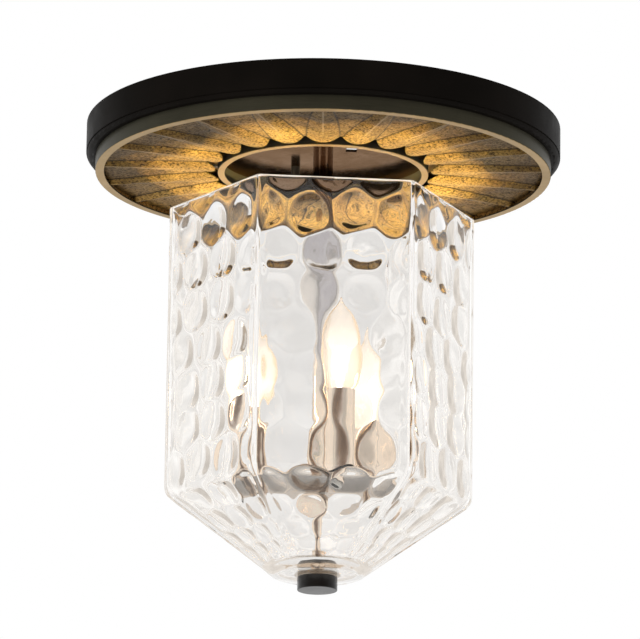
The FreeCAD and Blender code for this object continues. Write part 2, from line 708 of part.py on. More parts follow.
def hexagon_wire(corner_radius, rounding, z):
    """Return a rounded hexagon: its corner arcs joined by straight edges."""
    setback = corner_radius - rounding / CORNER_TO_FLAT
    reach = setback + rounding
    edges = []
    corners = []
    for degrees in azimuths(SHADE_SIDES):
        centre = polar(setback, degrees, z)
        corners.append(
            (
                centre + polar(rounding, degrees - SHADE_CORNER_ANGLE),
                polar(reach, degrees, z),
                centre + polar(rounding, degrees + SHADE_CORNER_ANGLE),
            )
        )
    for index, (start, middle, end) in enumerate(corners):
        edges.append(Part.Arc(start, middle, end).toShape())
        edges.append(Part.LineSegment(end, corners[(index + 1) % SHADE_SIDES][0]).toShape())
    return Part.Wire(edges)


def round_wire(radius, share, z):
    """Return a circle cut into arcs that match the edges of hexagon_wire."""
    half = SHADE_CORNER_ANGLE * share
    edges = []
    for degrees in azimuths(SHADE_SIDES):
        next_start = degrees + 2 * SHADE_CORNER_ANGLE - half
        for start, end in ((degrees - half, degrees + half), (degrees + half, next_start)):
            points = [polar(radius, turn, z) for turn in (start, (start + end) / 2, end)]
            edges.append(Part.Arc(*points).toShape())
    return Part.Wire(edges)


def shade_solid(corner_radius, rounding, waist, foot_radius, foot):
    """Return a hexagonal prism from the shade's rim to its waist, drawn in below to a round foot."""
    waist_wire = hexagon_wire(corner_radius, rounding, waist)
    prism = Part.Face(waist_wire).extrude(Vector(0, 0, SHADE_TOP - waist))
    lower = Part.makeLoft([waist_wire, round_wire(foot_radius, SHADE_FOOT_CORNERS, foot)], True, True)
    return prism.fuse(lower).removeSplitter()


def make_glass_shade():
    flat_radius = SHADE_CORNER_RADIUS * CORNER_TO_FLAT
    lean = math.atan2(flat_radius - SHADE_FOOT_RADIUS, SHADE_FUNNEL_HEIGHT)
    inner_foot = SHADE_FOOT_RADIUS + SHADE_FOOT_THICKNESS * math.tan(lean) - SHADE_WALL / math.cos(lean)
    inner_corner = SHADE_CORNER_RADIUS - SHADE_WALL / CORNER_TO_FLAT
    inner_waist = SHADE_WAIST + SHADE_WALL * math.tan(lean / 2)
    outer = shade_solid(SHADE_CORNER_RADIUS, SHADE_CORNER_ROUND, SHADE_WAIST, SHADE_FOOT_RADIUS, SHADE_BOTTOM)
    inner = shade_solid(inner_corner, SHADE_INNER_ROUND, inner_waist, inner_foot, SHADE_FLOOR)
    return outer.cut(inner).cut(rod(SHADE_HOLE_RADIUS, SHADE_BOTTOM, SHADE_FLOOR))


def make_inner_gasket():
    return ring(LOWER_ROD_CLEARANCE, GASKET_RADIUS, SHADE_FLOOR, SHADE_FLOOR + GASKET_SHEET)


def make_outer_gasket():
    return ring(LOWER_ROD_CLEARANCE, WASHER_OUTER, UNDER_GASKET_BOTTOM, SHADE_BOTTOM)


# ---------------------------------------------------------------- coupling, lower rod and finial


def make_ball_coupling():
    ball = Part.makeSphere(COUPLING_RADIUS, Vector(0, 0, COUPLING_LEVEL))
    middle = COUPLING_LEVEL + LOWER_ROD_RADIUS
    ball = ball.cut(rod(ROD_RADIUS, middle, COUPLING_LEVEL + COUPLING_RADIUS))
    return ball.cut(rod(LOWER_ROD_RADIUS, COUPLING_LEVEL - COUPLING_RADIUS, middle))


def make_lower_rod():
    return rod(LOWER_ROD_RADIUS, LOWER_ROD_END, COUPLING_LEVEL + LOWER_ROD_RADIUS)


def make_stop_collar():
    top = COLLAR_BOTTOM + COLLAR_LENGTH
    soft = COLLAR_ROUND
    return turned(
        (LOWER_ROD_RADIUS, COLLAR_BOTTOM),
        (COLLAR_RADIUS, COLLAR_BOTTOM),
        (COLLAR_RADIUS, top - soft),
        quarter(COLLAR_RADIUS - soft, top - soft, soft, 0, 90),
        (LOWER_ROD_RADIUS, top),
    )


def make_finial_washer():
    return ring(LOWER_ROD_CLEARANCE, WASHER_OUTER, FINIAL_WASHER_BOTTOM, FINIAL_WASHER_TOP)


def make_finial():
    edge = FINIAL_EDGE
    body = turned(
        (0, FINIAL_BOTTOM),
        (FINIAL_RADIUS - edge, FINIAL_BOTTOM),
        quarter(FINIAL_RADIUS - edge, FINIAL_BOTTOM + edge, edge, -90, 0),
        (FINIAL_RADIUS, FINIAL_TOP - edge),
        quarter(FINIAL_RADIUS - edge, FINIAL_TOP - edge, edge, 0, 90),
        (FINIAL_RECESS_RADIUS, FINIAL_TOP),
        (FINIAL_RECESS_RADIUS, FINIAL_FLOOR),
        (0, FINIAL_FLOOR),
    )
    return body.cut(rod(INSERT_RADIUS, FINIAL_BOTTOM + FINIAL_FACE, FINIAL_FLOOR))


def make_finial_insert():
    return ring(LOWER_ROD_RADIUS + THREAD_GAP, INSERT_RADIUS, FINIAL_BOTTOM + FINIAL_FACE, FINIAL_FLOOR)


# ---------------------------------------------------------------- write every sub-part


def main():
    os.makedirs("parts", exist_ok=True)
    band_places = [place(degrees, BAND_SCREW_CIRCLE) for degrees in azimuths(BAND_SCREWS, BAND_SCREW_PHASE)]
    cup_places = [place(degrees, CUP_SCREW_CIRCLE) for degrees in azimuths(CUP_SCREWS, CUP_SCREW_PHASE)]
    band_nut_top = PAN_SEAT_LEVEL - SHEET
    socket_turns = azimuths(SOCKETS, SOCKET_PHASE)

    save("ceiling_pan", make_ceiling_pan())
    save("tray_band", make_tray_band())
    save("pleated_reflector", make_pleated_reflector())
    save("recess_cup", make_recess_cup())
    save("recess_plate", make_recess_plate())
    save("lead_bushing", make_lead_bushing())
    save("band_screws", [screw_down(centre, PAN_SEAT_TOP) for centre in band_places])
    save(
        "band_nuts",
        [hex_nut(SCREW_NUT_FLATS, band_nut_top - SCREW_NUT, band_nut_top, SCREW_RADIUS, c) for c in band_places],
    )
    save("cup_screws", [screw_up(centre, PAN_FLOOR_LEVEL - SHEET) for centre in cup_places])
    save(
        "cup_nuts",
        [hex_nut(SCREW_NUT_FLATS, PAN_FLOOR_TOP, PAN_FLOOR_TOP + SCREW_NUT, SCREW_RADIUS, c) for c in cup_places],
    )
    save("mounting_strap", make_mounting_strap())
    save("ground_screw", make_ground_screw())
    save("center_rod", make_center_rod())
    save("strap_nuts", make_strap_nuts())
    save("pan_washer", make_pan_washer())
    save("pan_nut", make_pan_nut())
    save("stem", make_stem())
    save("socket_plate", make_socket_plate())
    save("plate_nut", make_plate_nut())
    save("socket_nipples", [make_socket_nipple(degrees) for degrees in socket_turns])
    save("nipple_nuts", [make_nipple_nut(degrees) for degrees in socket_turns])
    for index, degrees in enumerate(socket_turns, start=1):
        save("socket_body_%d" % index, make_socket_body(degrees))
        save("socket_shell_%d" % index, make_socket_shell(degrees))
        save("socket_contact_%d" % index, make_socket_contact(degrees))
        save("candle_sleeve_%d" % index, make_candle_sleeve(degrees))
        save("bulb_glass_%d" % index, make_bulb_glass(degrees))
        save("bulb_base_%d" % index, make_bulb_base(degrees))
        save("bulb_filament_%d" % index, make_bulb_filament(degrees))
        save("bulb_contact_%d" % index, make_bulb_contact(degrees))
    save("ball_coupling", make_ball_coupling())
    save("lower_rod", make_lower_rod())
    save("stop_collar", make_stop_collar())
    save("glass_shade", make_glass_shade())
    save("inner_gasket", make_inner_gasket())
    save("outer_gasket", make_outer_gasket())
    save("finial_washer", make_finial_washer())
    save("finial", make_finial())
    save("finial_insert", make_finial_insert())


main()
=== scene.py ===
import json
import math

import bpy
import numpy as np
from mathutils import Matrix, Vector


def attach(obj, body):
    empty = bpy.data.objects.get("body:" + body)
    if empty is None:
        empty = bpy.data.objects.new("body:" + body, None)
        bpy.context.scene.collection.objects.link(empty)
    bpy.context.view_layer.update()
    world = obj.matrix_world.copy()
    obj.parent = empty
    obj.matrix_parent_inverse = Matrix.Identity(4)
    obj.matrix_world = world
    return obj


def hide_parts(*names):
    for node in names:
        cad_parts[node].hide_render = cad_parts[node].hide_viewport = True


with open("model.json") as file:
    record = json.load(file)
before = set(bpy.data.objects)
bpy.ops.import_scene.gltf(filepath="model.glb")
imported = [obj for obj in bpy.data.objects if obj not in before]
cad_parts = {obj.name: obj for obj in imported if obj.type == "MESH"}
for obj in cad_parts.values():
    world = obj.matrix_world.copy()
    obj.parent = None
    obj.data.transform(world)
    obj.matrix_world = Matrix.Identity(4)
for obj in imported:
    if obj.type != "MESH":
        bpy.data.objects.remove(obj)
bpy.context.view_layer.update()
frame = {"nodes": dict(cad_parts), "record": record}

# Looks of the porch ceiling lantern. Lengths are in metres, in the CAD frame:
# Z is up into the ceiling, the object hangs below z = 0, and the viewer stands on the -Y side.

MM = 0.001
NODES = frame["nodes"]

# ---------------------------------------- camera, fitted to the photograph, in metres

CAMERA_PLACE = Vector((-0.4668, -4.8393, -1.4725))
CAMERA_AZIMUTH = math.radians(-5.50)     # of the line of sight, from +Y and positive towards -X
CAMERA_PITCH = math.radians(15.01)       # up from level
CAMERA_ROLL = math.radians(0.80)
CAMERA_LENS = 332.86      # in millimetres, with the sensor's width
CAMERA_SENSOR = 36.0
CAMERA_REACH = 60.0

# ---------------------------------------- sizes of the glass shade, in millimetres

SIDES = 6
SIDE_TURN = 360.0 / SIDES
CORNER_RADIUS = 131.5     # of the sharp hexagon, before its corners are rounded
CORNER_ROUND = 5.0        # radius at an outside corner
INNER_ROUND = 2.6         # radius at an inside corner
WALL = 4.5
RIM_LEVEL = -75.4
RIM_SOFT = 0.9            # how far the rounding of the rim reaches down
WAIST_LEVEL = -326.8      # where the walls turn into the slope
WAIST_SOFT = 7.0          # half the length of the rounding at the waist
FOOT_LEVEL = -393.0       # underside
FLOOR_LEVEL = -386.6      # top of the glass floor inside
FOOT_RADIUS = 38.0
FOOT_TUCK = 0.992         # share of the foot's radius at its rounded edge
FOOT_LIFT = 0.5           # of that edge above the underside
HOLE_RADIUS = 5.2
FOOT_CORNERS = 0.16       # share of the foot's circle that the six corners take
UNDERSIDE = (             # radius, and lift above FOOT_LEVEL, from the rounded edge in to the hole
    (37.0, 0.15),
    (35.4, 0.0),
    (28.0, 0.0),
    (20.0, 0.0),
    (12.0, 0.0),
    (6.0, 0.0),
    (HOLE_RADIUS, 0.0),
)
TOP_OF_FLOOR = (          # radius, and lift above FLOOR_LEVEL, from the hole out to the rounded edge
    (HOLE_RADIUS, 0.0),
    (6.0, 0.0),
    (12.0, 0.0),
    (20.0, 0.0),
    (28.0, 0.3),
    (33.0, 1.0),
    (37.0, 2.2),
)
RIM_PROFILE = (           # share of the way from outside to inside, and share of RIM_SOFT below the rim
    (0.93, 0.35),
    (0.80, 0.04),
    (0.50, 0.0),
    (0.20, 0.04),
    (0.07, 0.35),
)

FLAT_STEPS = 84           # points along a flat side
CORNER_STEPS = 6          # points round a corner
WALL_STEPS = 160          # rows from the rim to the waist
WAIST_STEPS = 9           # rows round the waist
FUNNEL_STEPS = 60         # rows from the waist to the foot
LEFT_OUT_ROWS = 4         # last inside rows, where TOP_OF_FLOOR takes their place
GLASS_SHARP = 50.0        # degrees between faces that make a sharp edge

CELL_PITCH = 38.4         # from dimple to dimple in a row
CELL_COLUMNS = 3          # most dimples on either side of the middle one
CELL_ROWS = (             # level of each row of dimples, and the sideways place of one dimple in it
    (-71.0, -3.0),
    (-106.0, 15.5),
    (-141.0, -10.8),
    (-179.0, -12.5),
    (-211.0, 8.0),
    (-243.0, -22.0),
    (-277.0, 18.0),
    (-309.0, -2.0),
)
FUNNEL_ROWS = (           # the same on the slope, before it narrows; down it is negative
    (-13.0, -19.0),
    (-47.0, -22.0),
    (-79.0, -3.0),
    (-110.0, 3.0),
    (-142.0, -3.0),
)
WALL_SEED = 20
FUNNEL_SEED = 40
ROW_STEP = CELL_PITCH / 3      # how far the rows are moved sideways from face to face
FRONT_FACE = 4            # the pane that the photograph shows from the front
FRONT_CALM = (            # level and share of the relief on the front pane, flatter before the bulbs
    (-300.0, 0.65),
    (-274.0, 0.60),
    (-258.0, 0.35),
    (-195.0, 0.38),
    (-160.0, 1.0),
)
SLOPE_CALM = (            # share of the way down the front slope, and share of the relief there
    (0.41, 1.0),
    (0.54, 0.30),
)
CELL_REACH = 17.5         # radius of a dimple, up to the flat band round it
CELL_DEPTH = 1.4          # of the relief at CELL_REACH from a crown
CELL_STEEPENING = 1.2     # added to that depth, with the fourth power of the distance
CELL_KNEE = 0.17          # softness of the turn into the flat band
CELL_LEAN = (0.86, 1.07)  # steepness above and below a crown
OUTER_SHARE = 0.20        # of the relief that lies on the outside
CELL_JITTER = (2.4, 3.8)  # sideways and in level
CELL_LIMIT = 0.68         # share of CORNER_RADIUS, how far to the side dimples are placed
CREASE_SOFTNESS = 60.0    # of the crease between two dimples
CORNER_CALM = 7.0         # from a corner to where the relief has its full height
CORNER_SINK = 0.4         # share of CELL_DEPTH that a corner lies below a crown
FUNNEL_START = -2.0       # distance past the waist where the slope's dimples begin
FUNNEL_BLEND = 10.0       # and over which they take the place of the wall's
FOOT_CALM = 0.84          # share of the slope where its dimples begin to fade, down to the foot

# ---------------------------------------- sizes of the pleated ring, in millimetres

FLUTES = 21
FLUTE_PHASE = 264.3       # azimuth of one ridge, in degrees
RING_INNER = 92.6
RING_OUTER = 189.9
RING_SCALLOP = 10.0       # how much further out the sheet ends between two ridges
RING_SHEET = 0.9
RIDGE_LEVEL = -40.2
FLOOR_RISE = 3.9          # of the valleys above the ridges at the rim
PETAL_RISE = 0.7          # of the ridges' inner ends above the rim's ridges
CUSP_RISE = 3.5           # of the valleys' inner ends above the rim's ridges
RIDGE_HALF_TURN = 5.4 / RING_OUTER     # half a ridge's base at the rim, in radians
BEND_INNER = 2.3          # power of a flute's cross-section at its rounded inner end
BEND_FALL = 1.25          # and how much less it is at the rim, where it is almost straight
FLUTE_SWAY = 0.012        # most that a ridge leaves its radius, in radians
WAVE_HEIGHT = 0.16        # of the hand-beaten waves on a flute
WAVE_ALONG = 31.0         # radians of wave from the inner end to the rim
WAVE_ACROSS = 3.0         # radians of wave from a ridge to a valley
WAVE_SPREAD = 500.0       # radians of wave per radian of sway, so that no two flutes match
HOOP_RADIUS = 190.5
HOOP_BACK = 189.2         # inner radius of its top edge
HOOP_LIFT = 0.02          # of its lower edge above the ridges
HOOP_TOP = -35.0
RADIAL_STEPS = 44
FLUTE_STEPS = 28
RING_SEED = 5
RING_SHARP = 24.0         # degrees between faces that make a sharp edge

# ---------------------------------------- lamps, world and floor, in metres and watts

BULB_CIRCLE = 0.060
BULB_AZIMUTHS = (280.7, 40.7, 160.7)
LAMP_LEVEL = -0.219
LAMP_RADIUS = 0.007
LAMP_POWER = 7.8
LAMP_COLOUR = (1.0, 0.77, 0.38)
LIGHT_TARGET = (0.0, 0.0, -0.2)
SOFT_LIGHTS = (           # name, place, side, power and colour
    ("key_light", (-2.2, -2.6, 0.6), 2.4, 18.0, (1.0, 0.98, 0.95)),
    ("low_light", (1.6, -1.8, -2.2), 2.0, 7.0, (1.0, 0.97, 0.93)),
)
BACKDROP_REACH = 15.0     # degrees from the line of sight to where the backdrop is brightest
BACKDROP_DIM = 0.86       # straight behind the lantern
BACKDROP_BRIGHT = 1.08
AMBIENT = 0.40            # light of the world on surfaces that aren't glossy
OFTEN = 3                 # a ray that passes more glass surfaces than this has been inside the shade
FLOOR_PLACE = -6.5
FLOOR_HALF = 30.0
FLOOR_LIFT = 0.45         # brightness added to the floor where it is seen

# ---------------------------------------- node helpers


class NodeTree:
    """A node tree with one output, and a short call that adds a node with its links and values."""

    def __init__(self, tree, output_kind):
        self.tree = tree
        self.tree.nodes.clear()
        self.output = self.tree.nodes.new("ShaderNodeOutput" + output_kind)

    def add(self, kind, inputs=None, **settings):
        node = self.tree.nodes.new("ShaderNode" + kind)
        for key, value in settings.items():
            setattr(node, key, value)
        for key, value in (inputs or {}).items():
            if isinstance(value, bpy.types.NodeSocket):
                self.tree.links.new(value, node.inputs[key])
            else:
                node.inputs[key].default_value = value
        return node

    def finish(self, surface):
        self.tree.links.new(surface, self.output.inputs["Surface"])


class Shader(NodeTree):
    """The node tree of a new material."""

    def __init__(self, name):
        self.material = bpy.data.materials.new(name)
        self.material.use_nodes = True
        super().__init__(self.material.node_tree, "Material")

    def finish(self, surface):
        super().finish(surface)
        return self.material


def ramp(shader, factor, stops):
    """Return the colour of a ramp through (position, (r, g, b)) stops."""
    node = shader.add("ValToRGB", {"Fac": factor})
    elements = node.color_ramp.elements
    while len(elements) < len(stops):
        elements.new(0.5)
    for element, (position, colour) in zip(elements, stops):
        element.position = position
        element.color = (*colour, 1.0)
    return node.outputs["Color"]


def grey(value):
    """Return the colour with one value for red, green and blue."""
    return (value, value, value)


def calculate(shader, operation, a, b=0.0):
    """Return the result of a Math node."""
    return shader.add("Math", {0: a, 1: b}, operation=operation).outputs["Value"]


def more_than(shader, depth, count):
    """Return 1 where a light path's depth is more than a count, else 0."""
    return calculate(shader, "GREATER_THAN", depth, count + 0.5)


def fade(shader, value, start, end, low=0.0, high=1.0, kind="SMOOTHSTEP"):
    """Return a smooth step of a value, from low at start to high at end."""
    inputs = {"Value": value, "From Min": start, "From Max": end, "To Min": low, "To Max": high}
    return shader.add("MapRange", inputs, interpolation_type=kind).outputs["Result"]


def slide(shader, value, start, end, low=0.0, high=1.0):
    """Return the same as fade, along a straight line."""
    return fade(shader, value, start, end, low, high, "LINEAR")


def blend(shader, factor, first, second, kind="MIX"):
    """Return two colours mixed by a factor."""
    mix = shader.add("Mix", data_type="RGBA", blend_type=kind)
    for index, value in ((0, factor), (6, first), (7, second)):
        if isinstance(value, bpy.types.NodeSocket):
            shader.tree.links.new(value, mix.inputs[index])
        elif index == 0:
            mix.inputs[0].default_value = value
        else:
            mix.inputs[index].default_value = (*value, 1.0)
    return mix.outputs[2]


def noise(shader, scale, detail=4.0, roughness=0.55, vector=None, distortion=0.0):
    """Return the value of a noise texture, from 0 to 1."""
    inputs = {"Scale": scale, "Detail": detail, "Roughness": roughness, "Distortion": distortion}
    if vector is not None:
        inputs["Vector"] = vector
    return shader.add("TexNoise", inputs).outputs["Fac"]


def place_vector(shader, scale=(1.0, 1.0, 1.0)):
    """Return object coordinates, stretched."""
    coordinate = shader.add("TexCoord").outputs["Object"]
    return shader.add("Mapping", {"Vector": coordinate, "Scale": scale}).outputs["Vector"]


def split(shader, vector):
    """Return the X, Y and Z outputs of a vector."""
    return shader.add("SeparateXYZ", {"Vector": vector}).outputs


def normal_height(shader):
    """Return how much a face looks up, from -1 to 1."""
    return split(shader, shader.add("TexCoord").outputs["Normal"])["Z"]


def facing_away(shader, blend_value):
    """Return 0 where a face looks at the viewer, up to 1 at its outline."""
    return shader.add("LayerWeight", {"Blend": blend_value}).outputs["Facing"]


def mix_shaders(shader, factor, first, second):
    """Return two surfaces mixed by a factor."""
    return shader.add("MixShader", {0: factor, 1: first, 2: second}).outputs["Shader"]


def bump(shader, height, strength, distance):
    """Return the normal of a surface with a height map; the distance is in metres."""
    inputs = {"Height": height, "Strength": strength, "Distance": distance}
    return shader.add("Bump", inputs).outputs["Normal"]


def principled(shader, **inputs):
    """Return the shader socket of a Principled node. Names use _ for a space."""
    named = {key.replace("_", " "): value for key, value in inputs.items()}
    return shader.add("BsdfPrincipled", named).outputs["BSDF"]


# ---------------------------------------- materials

MOST_CROSSINGS = 7        # of glass surfaces that a ray goes through before glass lets it pass unbent
MOST_REFLECTIONS = 1      # the same for reflections
TRAPPED_TONE = (0.90, 0.875, 0.845)      # share of such a ray's light that is left at each surface


def black_enamel(name, low, high, roughness, gloss):
    """Return semi-gloss black enamel with a brown cast and a faint orange peel."""
    s = Shader(name)
    where = place_vector(s)
    cloud = noise(s, 9.0, 3.0, vector=where)
    colour = ramp(s, cloud, [(0.35, low), (0.68, high)])
    smudge = noise(s, 42.0, 5.0, vector=where)
    rough = ramp(s, smudge, [(0.3, grey(roughness * 0.86)), (0.75, grey(roughness * 1.22))])
    peel = noise(s, 900.0, 2.0, vector=where)
    return s.finish(
        principled(
            s,
            Base_Color=colour,
            Roughness=rough,
            Normal=bump(s, peel, 0.12, 0.0002),
            Coat_Weight=gloss * 0.4,
            Coat_Roughness=0.16,
            Specular_IOR_Level=gloss,
        )
    )


def satin_bronze(name, dark, light, lamplit_lip, roughness):
    """Return satin bronze with fine turned streaks; faces that look down get a paler copy, as painted light.
    """
    s = Shader(name)
    where = place_vector(s)
    cloud = noise(s, 14.0, 4.0, vector=where)
    streaks = noise(s, 60.0, 6.0, 0.7, vector=place_vector(s, (1.0, 1.0, 26.0)))
    half = calculate(s, "MULTIPLY", calculate(s, "ADD", cloud, streaks), 0.5)
    side_colour = ramp(s, half, [(0.36, dark), (0.64, light)])
    # paler copy of the bronze for faces that look down: painted light from the bulbs below
    lamplit_lip_colour = ramp(s, cloud, [(0.35, tuple(c * 0.82 for c in lamplit_lip)), (0.65, lamplit_lip)])
    looks_down = fade(s, normal_height(s), -0.35, -0.9)
    rough = ramp(s, streaks, [(0.3, grey(roughness * 0.85)), (0.7, grey(roughness * 1.2))])
    return s.finish(
        principled(
            s,
            # painted light on faces that look down: paler and more metallic there
            Base_Color=blend(s, looks_down, side_colour, lamplit_lip_colour),
            Metallic=fade(s, looks_down, 0.0, 1.0, 0.35, 0.9),
            Specular_IOR_Level=0.12,
            Roughness=rough,
            Normal=bump(s, streaks, 0.06, 0.0002),
        )
    )


def flute_masks(shader):
    """Return masks over the pleated ring, and the share of the way out.

    The masks are 1 in the valleys, along the creases and along the ridges.
    """

    def work_out(operation, a, b=0.0):
        return calculate(shader, operation, a, b)

    parts = split(shader, shader.add("TexCoord").outputs["Object"])
    x, y = parts["X"], parts["Y"]
    radius = work_out("SQRT", work_out("ADD", work_out("MULTIPLY", x, x), work_out("MULTIPLY", y, y)))
    pitch = 2 * math.pi / FLUTES
    azimuth = work_out("ARCTAN2", y, x)
    turns = work_out("DIVIDE", work_out("SUBTRACT", azimuth, math.radians(FLUTE_PHASE)), pitch)
    off = work_out("ABSOLUTE", work_out("SUBTRACT", turns, work_out("ROUND", turns)))
    turn = work_out("MULTIPLY", off, pitch)
    share = slide(shader, radius, RING_INNER * MM, RING_OUTER * MM)
    width = work_out("ADD", work_out("MULTIPLY", share, RIDGE_HALF_TURN - pitch / 2), pitch / 2)
    from_crease = work_out("MULTIPLY", work_out("SUBTRACT", turn, width), radius)
    valley = fade(shader, from_crease, -0.6 * MM, 0.6 * MM)
    crease = fade(shader, work_out("ABSOLUTE", from_crease), 1.3 * MM, 0.2 * MM)
    along_ridge = fade(shader, work_out("MULTIPLY", turn, radius), 1.3 * MM, 0.3 * MM)
    ridge = work_out("MULTIPLY", along_ridge, fade(shader, share, 0.1, 0.55))
    return valley, crease, ridge, share


def antique_gold():
    """Return leafed gold with greyer valleys and specks, painted bulb light and shade, and painted ridge
    highlights.
    """
    s = Shader("antique_gold")
    where = place_vector(s)
    valley, crease, ridge, share = flute_masks(s)
    tarnish = noise(s, 17.0, 6.0, 0.62, vector=where, distortion=0.6)
    stipple = noise(s, 430.0, 5.0, 0.72, vector=where)
    grain = s.add("TexVoronoi", {"Vector": where, "Scale": 430.0, "Randomness": 1.0}).outputs["Distance"]
    leaf = ramp(
        s,
        tarnish,
        [
            (0.32, (0.24, 0.165, 0.060)),
            (0.46, (0.36, 0.245, 0.080)),
            (0.58, (0.47, 0.325, 0.095)),
            (0.72, (0.58, 0.410, 0.120)),
        ],
    )
    # valleys are darker and greyer
    valley_tone = ramp(s, tarnish, [(0.34, (0.19, 0.132, 0.064)), (0.66, (0.38, 0.270, 0.130))])
    gilded = blend(s, calculate(s, "MULTIPLY", valley, 0.45), leaf, valley_tone)
    # painted bulb light: bright near the middle, duller towards the rim
    painted_bulb_light_falloff = ramp(
        s, share, [(0.30, (1.02, 0.98, 0.88)), (0.62, (0.74, 0.64, 0.50)), (0.90, (0.60, 0.50, 0.37))]
    )
    # painted light: brighter towards the back
    painted_back_light = fade(s, split(s, where)["Y"], 0.03, 0.13, 0.74, 1.80)
    painted_ring_light = blend(s, 1.0, painted_bulb_light_falloff, painted_back_light, "MULTIPLY")
    gilding_with_painted_light = blend(s, 1.0, gilded, painted_ring_light, "MULTIPLY")
    speck = ramp(s, stipple, [(0.38, grey(0.10)), (0.45, grey(0.70)), (0.56, grey(1.30))])
    pits = ramp(s, grain, [(0.06, grey(0.50)), (0.26, grey(1.0))])
    speckled = blend(s, 1.0, gilding_with_painted_light, speck, "MULTIPLY")
    dotted = blend(s, 1.0, speckled, pits, "MULTIPLY")
    # painted shade: dark lines along the creases
    gilding_with_painted_crease_shade = blend(s, calculate(s, "MULTIPLY", crease, 0.85), dotted, (0.030, 0.020, 0.011))
    # painted highlight: light lines along the ridges
    painted_edge_light = blend(s, calculate(s, "MULTIPLY", ridge, 0.50), gilding_with_painted_crease_shade, (0.55, 0.42, 0.25))
    rough = ramp(s, stipple, [(0.35, grey(0.60)), (0.7, grey(0.40))])
    relief = calculate(s, "ADD", stipple, grain)
    return s.finish(
        principled(
            s,
            Base_Color=painted_edge_light,
            Metallic=0.6,
            Roughness=rough,
            Normal=bump(s, relief, 0.45, 0.0005),
            Specular_IOR_Level=0.2,
        )
    )


def polished_bronze():
    """Return dark polished bronze with cloudy smears."""
    s = Shader("polished_bronze")
    where = place_vector(s)
    cloud = noise(s, 22.0, 6.0, 0.6, vector=where, distortion=0.9)
    fine = noise(s, 240.0, 3.0, vector=where)
    colour = ramp(
        s, cloud, [(0.30, (0.17, 0.120, 0.090)), (0.52, (0.27, 0.198, 0.150)), (0.74, (0.39, 0.300, 0.235))]
    )
    rough = ramp(s, fine, [(0.3, grey(0.10)), (0.75, grey(0.22))])
    return s.finish(
        principled(
            s,
            Base_Color=colour,
            Metallic=1.0,
            Roughness=rough,
            Specular_Tint=(0.66, 0.52, 0.42, 1.0),
            Normal=bump(s, cloud, 0.05, 0.001),
        )
    )


def chrome(name, tint, roughness):
    """Return bright plating with faint polishing lines and smudges.

    Its colour holds painted light: painted shade, darker and browner, up in the recess, painted warm lamp
    light beside the lamps, and a painted dark reflection where it looks straight at the viewer, with painted
    glints beside it. Faces that look down get painted shade towards the front.
    """
    s = Shader(name)
    where = place_vector(s)
    smudge = noise(s, 55.0, 5.0, vector=where)
    lines = noise(s, 120.0, 3.0, vector=place_vector(s, (1.0, 1.0, 14.0)))
    plating = ramp(s, smudge, [(0.3, tuple(c * 0.93 for c in tint)), (0.7, tint)])
    place = split(s, where)
    height = place["Z"]
    # painted warm lamp light and reflections near the lamps
    lamp_light_share = fade(s, height, -0.200, -0.250)
    underneath = fade(s, normal_height(s), -0.80, -0.95)
    # painted shade on faces that look down, towards the front
    front_shade = calculate(s, "MULTIPLY", underneath, fade(s, place["Y"], 0.035, -0.030, 0.0, 0.72))
    facing = facing_away(s, 0.5)
    # painted lamp light by the angle of view: a dark reflection face on, bright bands, darker at the outline
    lamplit = ramp(
        s,
        facing,
        [
            (0.01, (0.22, 0.13, 0.07)),
            (0.045, (0.50, 0.37, 0.26)),
            (0.10, (1.32, 1.19, 1.03)),
            (0.45, (1.22, 1.08, 0.93)),
            (0.70, (0.92, 0.80, 0.67)),
            (0.90, (0.46, 0.38, 0.30)),
        ],
    )
    # painted shade in the recess, with a painted dark reflection face on and a painted glint band
    painted_recess_shade_and_glint = ramp(
        s,
        facing,
        [
            (0.02, (0.22, 0.13, 0.08)),
            (0.06, (0.30, 0.20, 0.14)),
            (0.10, (1.15, 1.05, 0.95)),
            (0.17, (0.25, 0.17, 0.12)),
            (0.50, (0.42, 0.34, 0.28)),
        ],
    )
    # where the painted recess shade takes over
    in_recess = fade(s, height, -0.092, -0.080)
    painted_chrome_light = blend(s, lamp_light_share, blend(s, in_recess, grey(1.0), painted_recess_shade_and_glint), lamplit)
    chrome_with_painted_light = blend(s, 1.0, plating, painted_chrome_light, "MULTIPLY")
    colour = blend(s, 1.0, chrome_with_painted_light, calculate(s, "SUBTRACT", 1.0, front_shade), "MULTIPLY")
    rough = ramp(s, smudge, [(0.3, grey(roughness * 0.7)), (0.8, grey(roughness * 1.7))])
    return s.finish(
        principled(s, Base_Color=colour, Metallic=1.0, Roughness=rough, Normal=bump(s, lines, 0.02, 0.0002))
    )


def zinc(name, dark, light):
    """Return zinc plating with a crystal spangle."""
    s = Shader(name)
    where = place_vector(s)
    cells = s.add("TexVoronoi", {"Vector": where, "Scale": 260.0}).outputs["Color"]
    fine = noise(s, 500.0, 3.0, vector=where)
    colour = ramp(s, cells, [(0.2, dark), (0.8, light)])
    rough = ramp(s, cells, [(0.2, grey(0.30)), (0.8, grey(0.46))])
    return s.finish(
        principled(s, Base_Color=colour, Metallic=0.95, Roughness=rough, Normal=bump(s, fine, 0.15, 0.0002))
    )


def plastic(name, dark, light, roughness):
    """Return moulded plastic or rubber with a fine grain."""
    s = Shader(name)
    where = place_vector(s)
    cloud = noise(s, 60.0, 4.0, vector=where)
    grain = noise(s, 1500.0, 2.0, vector=where)
    colour = ramp(s, cloud, [(0.3, dark), (0.7, light)])
    rough = ramp(s, grain, [(0.3, grey(roughness * 0.85)), (0.7, grey(roughness * 1.15))])
    return s.finish(principled(s, Base_Color=colour, Roughness=rough, Normal=bump(s, grain, 0.2, 0.0002)))


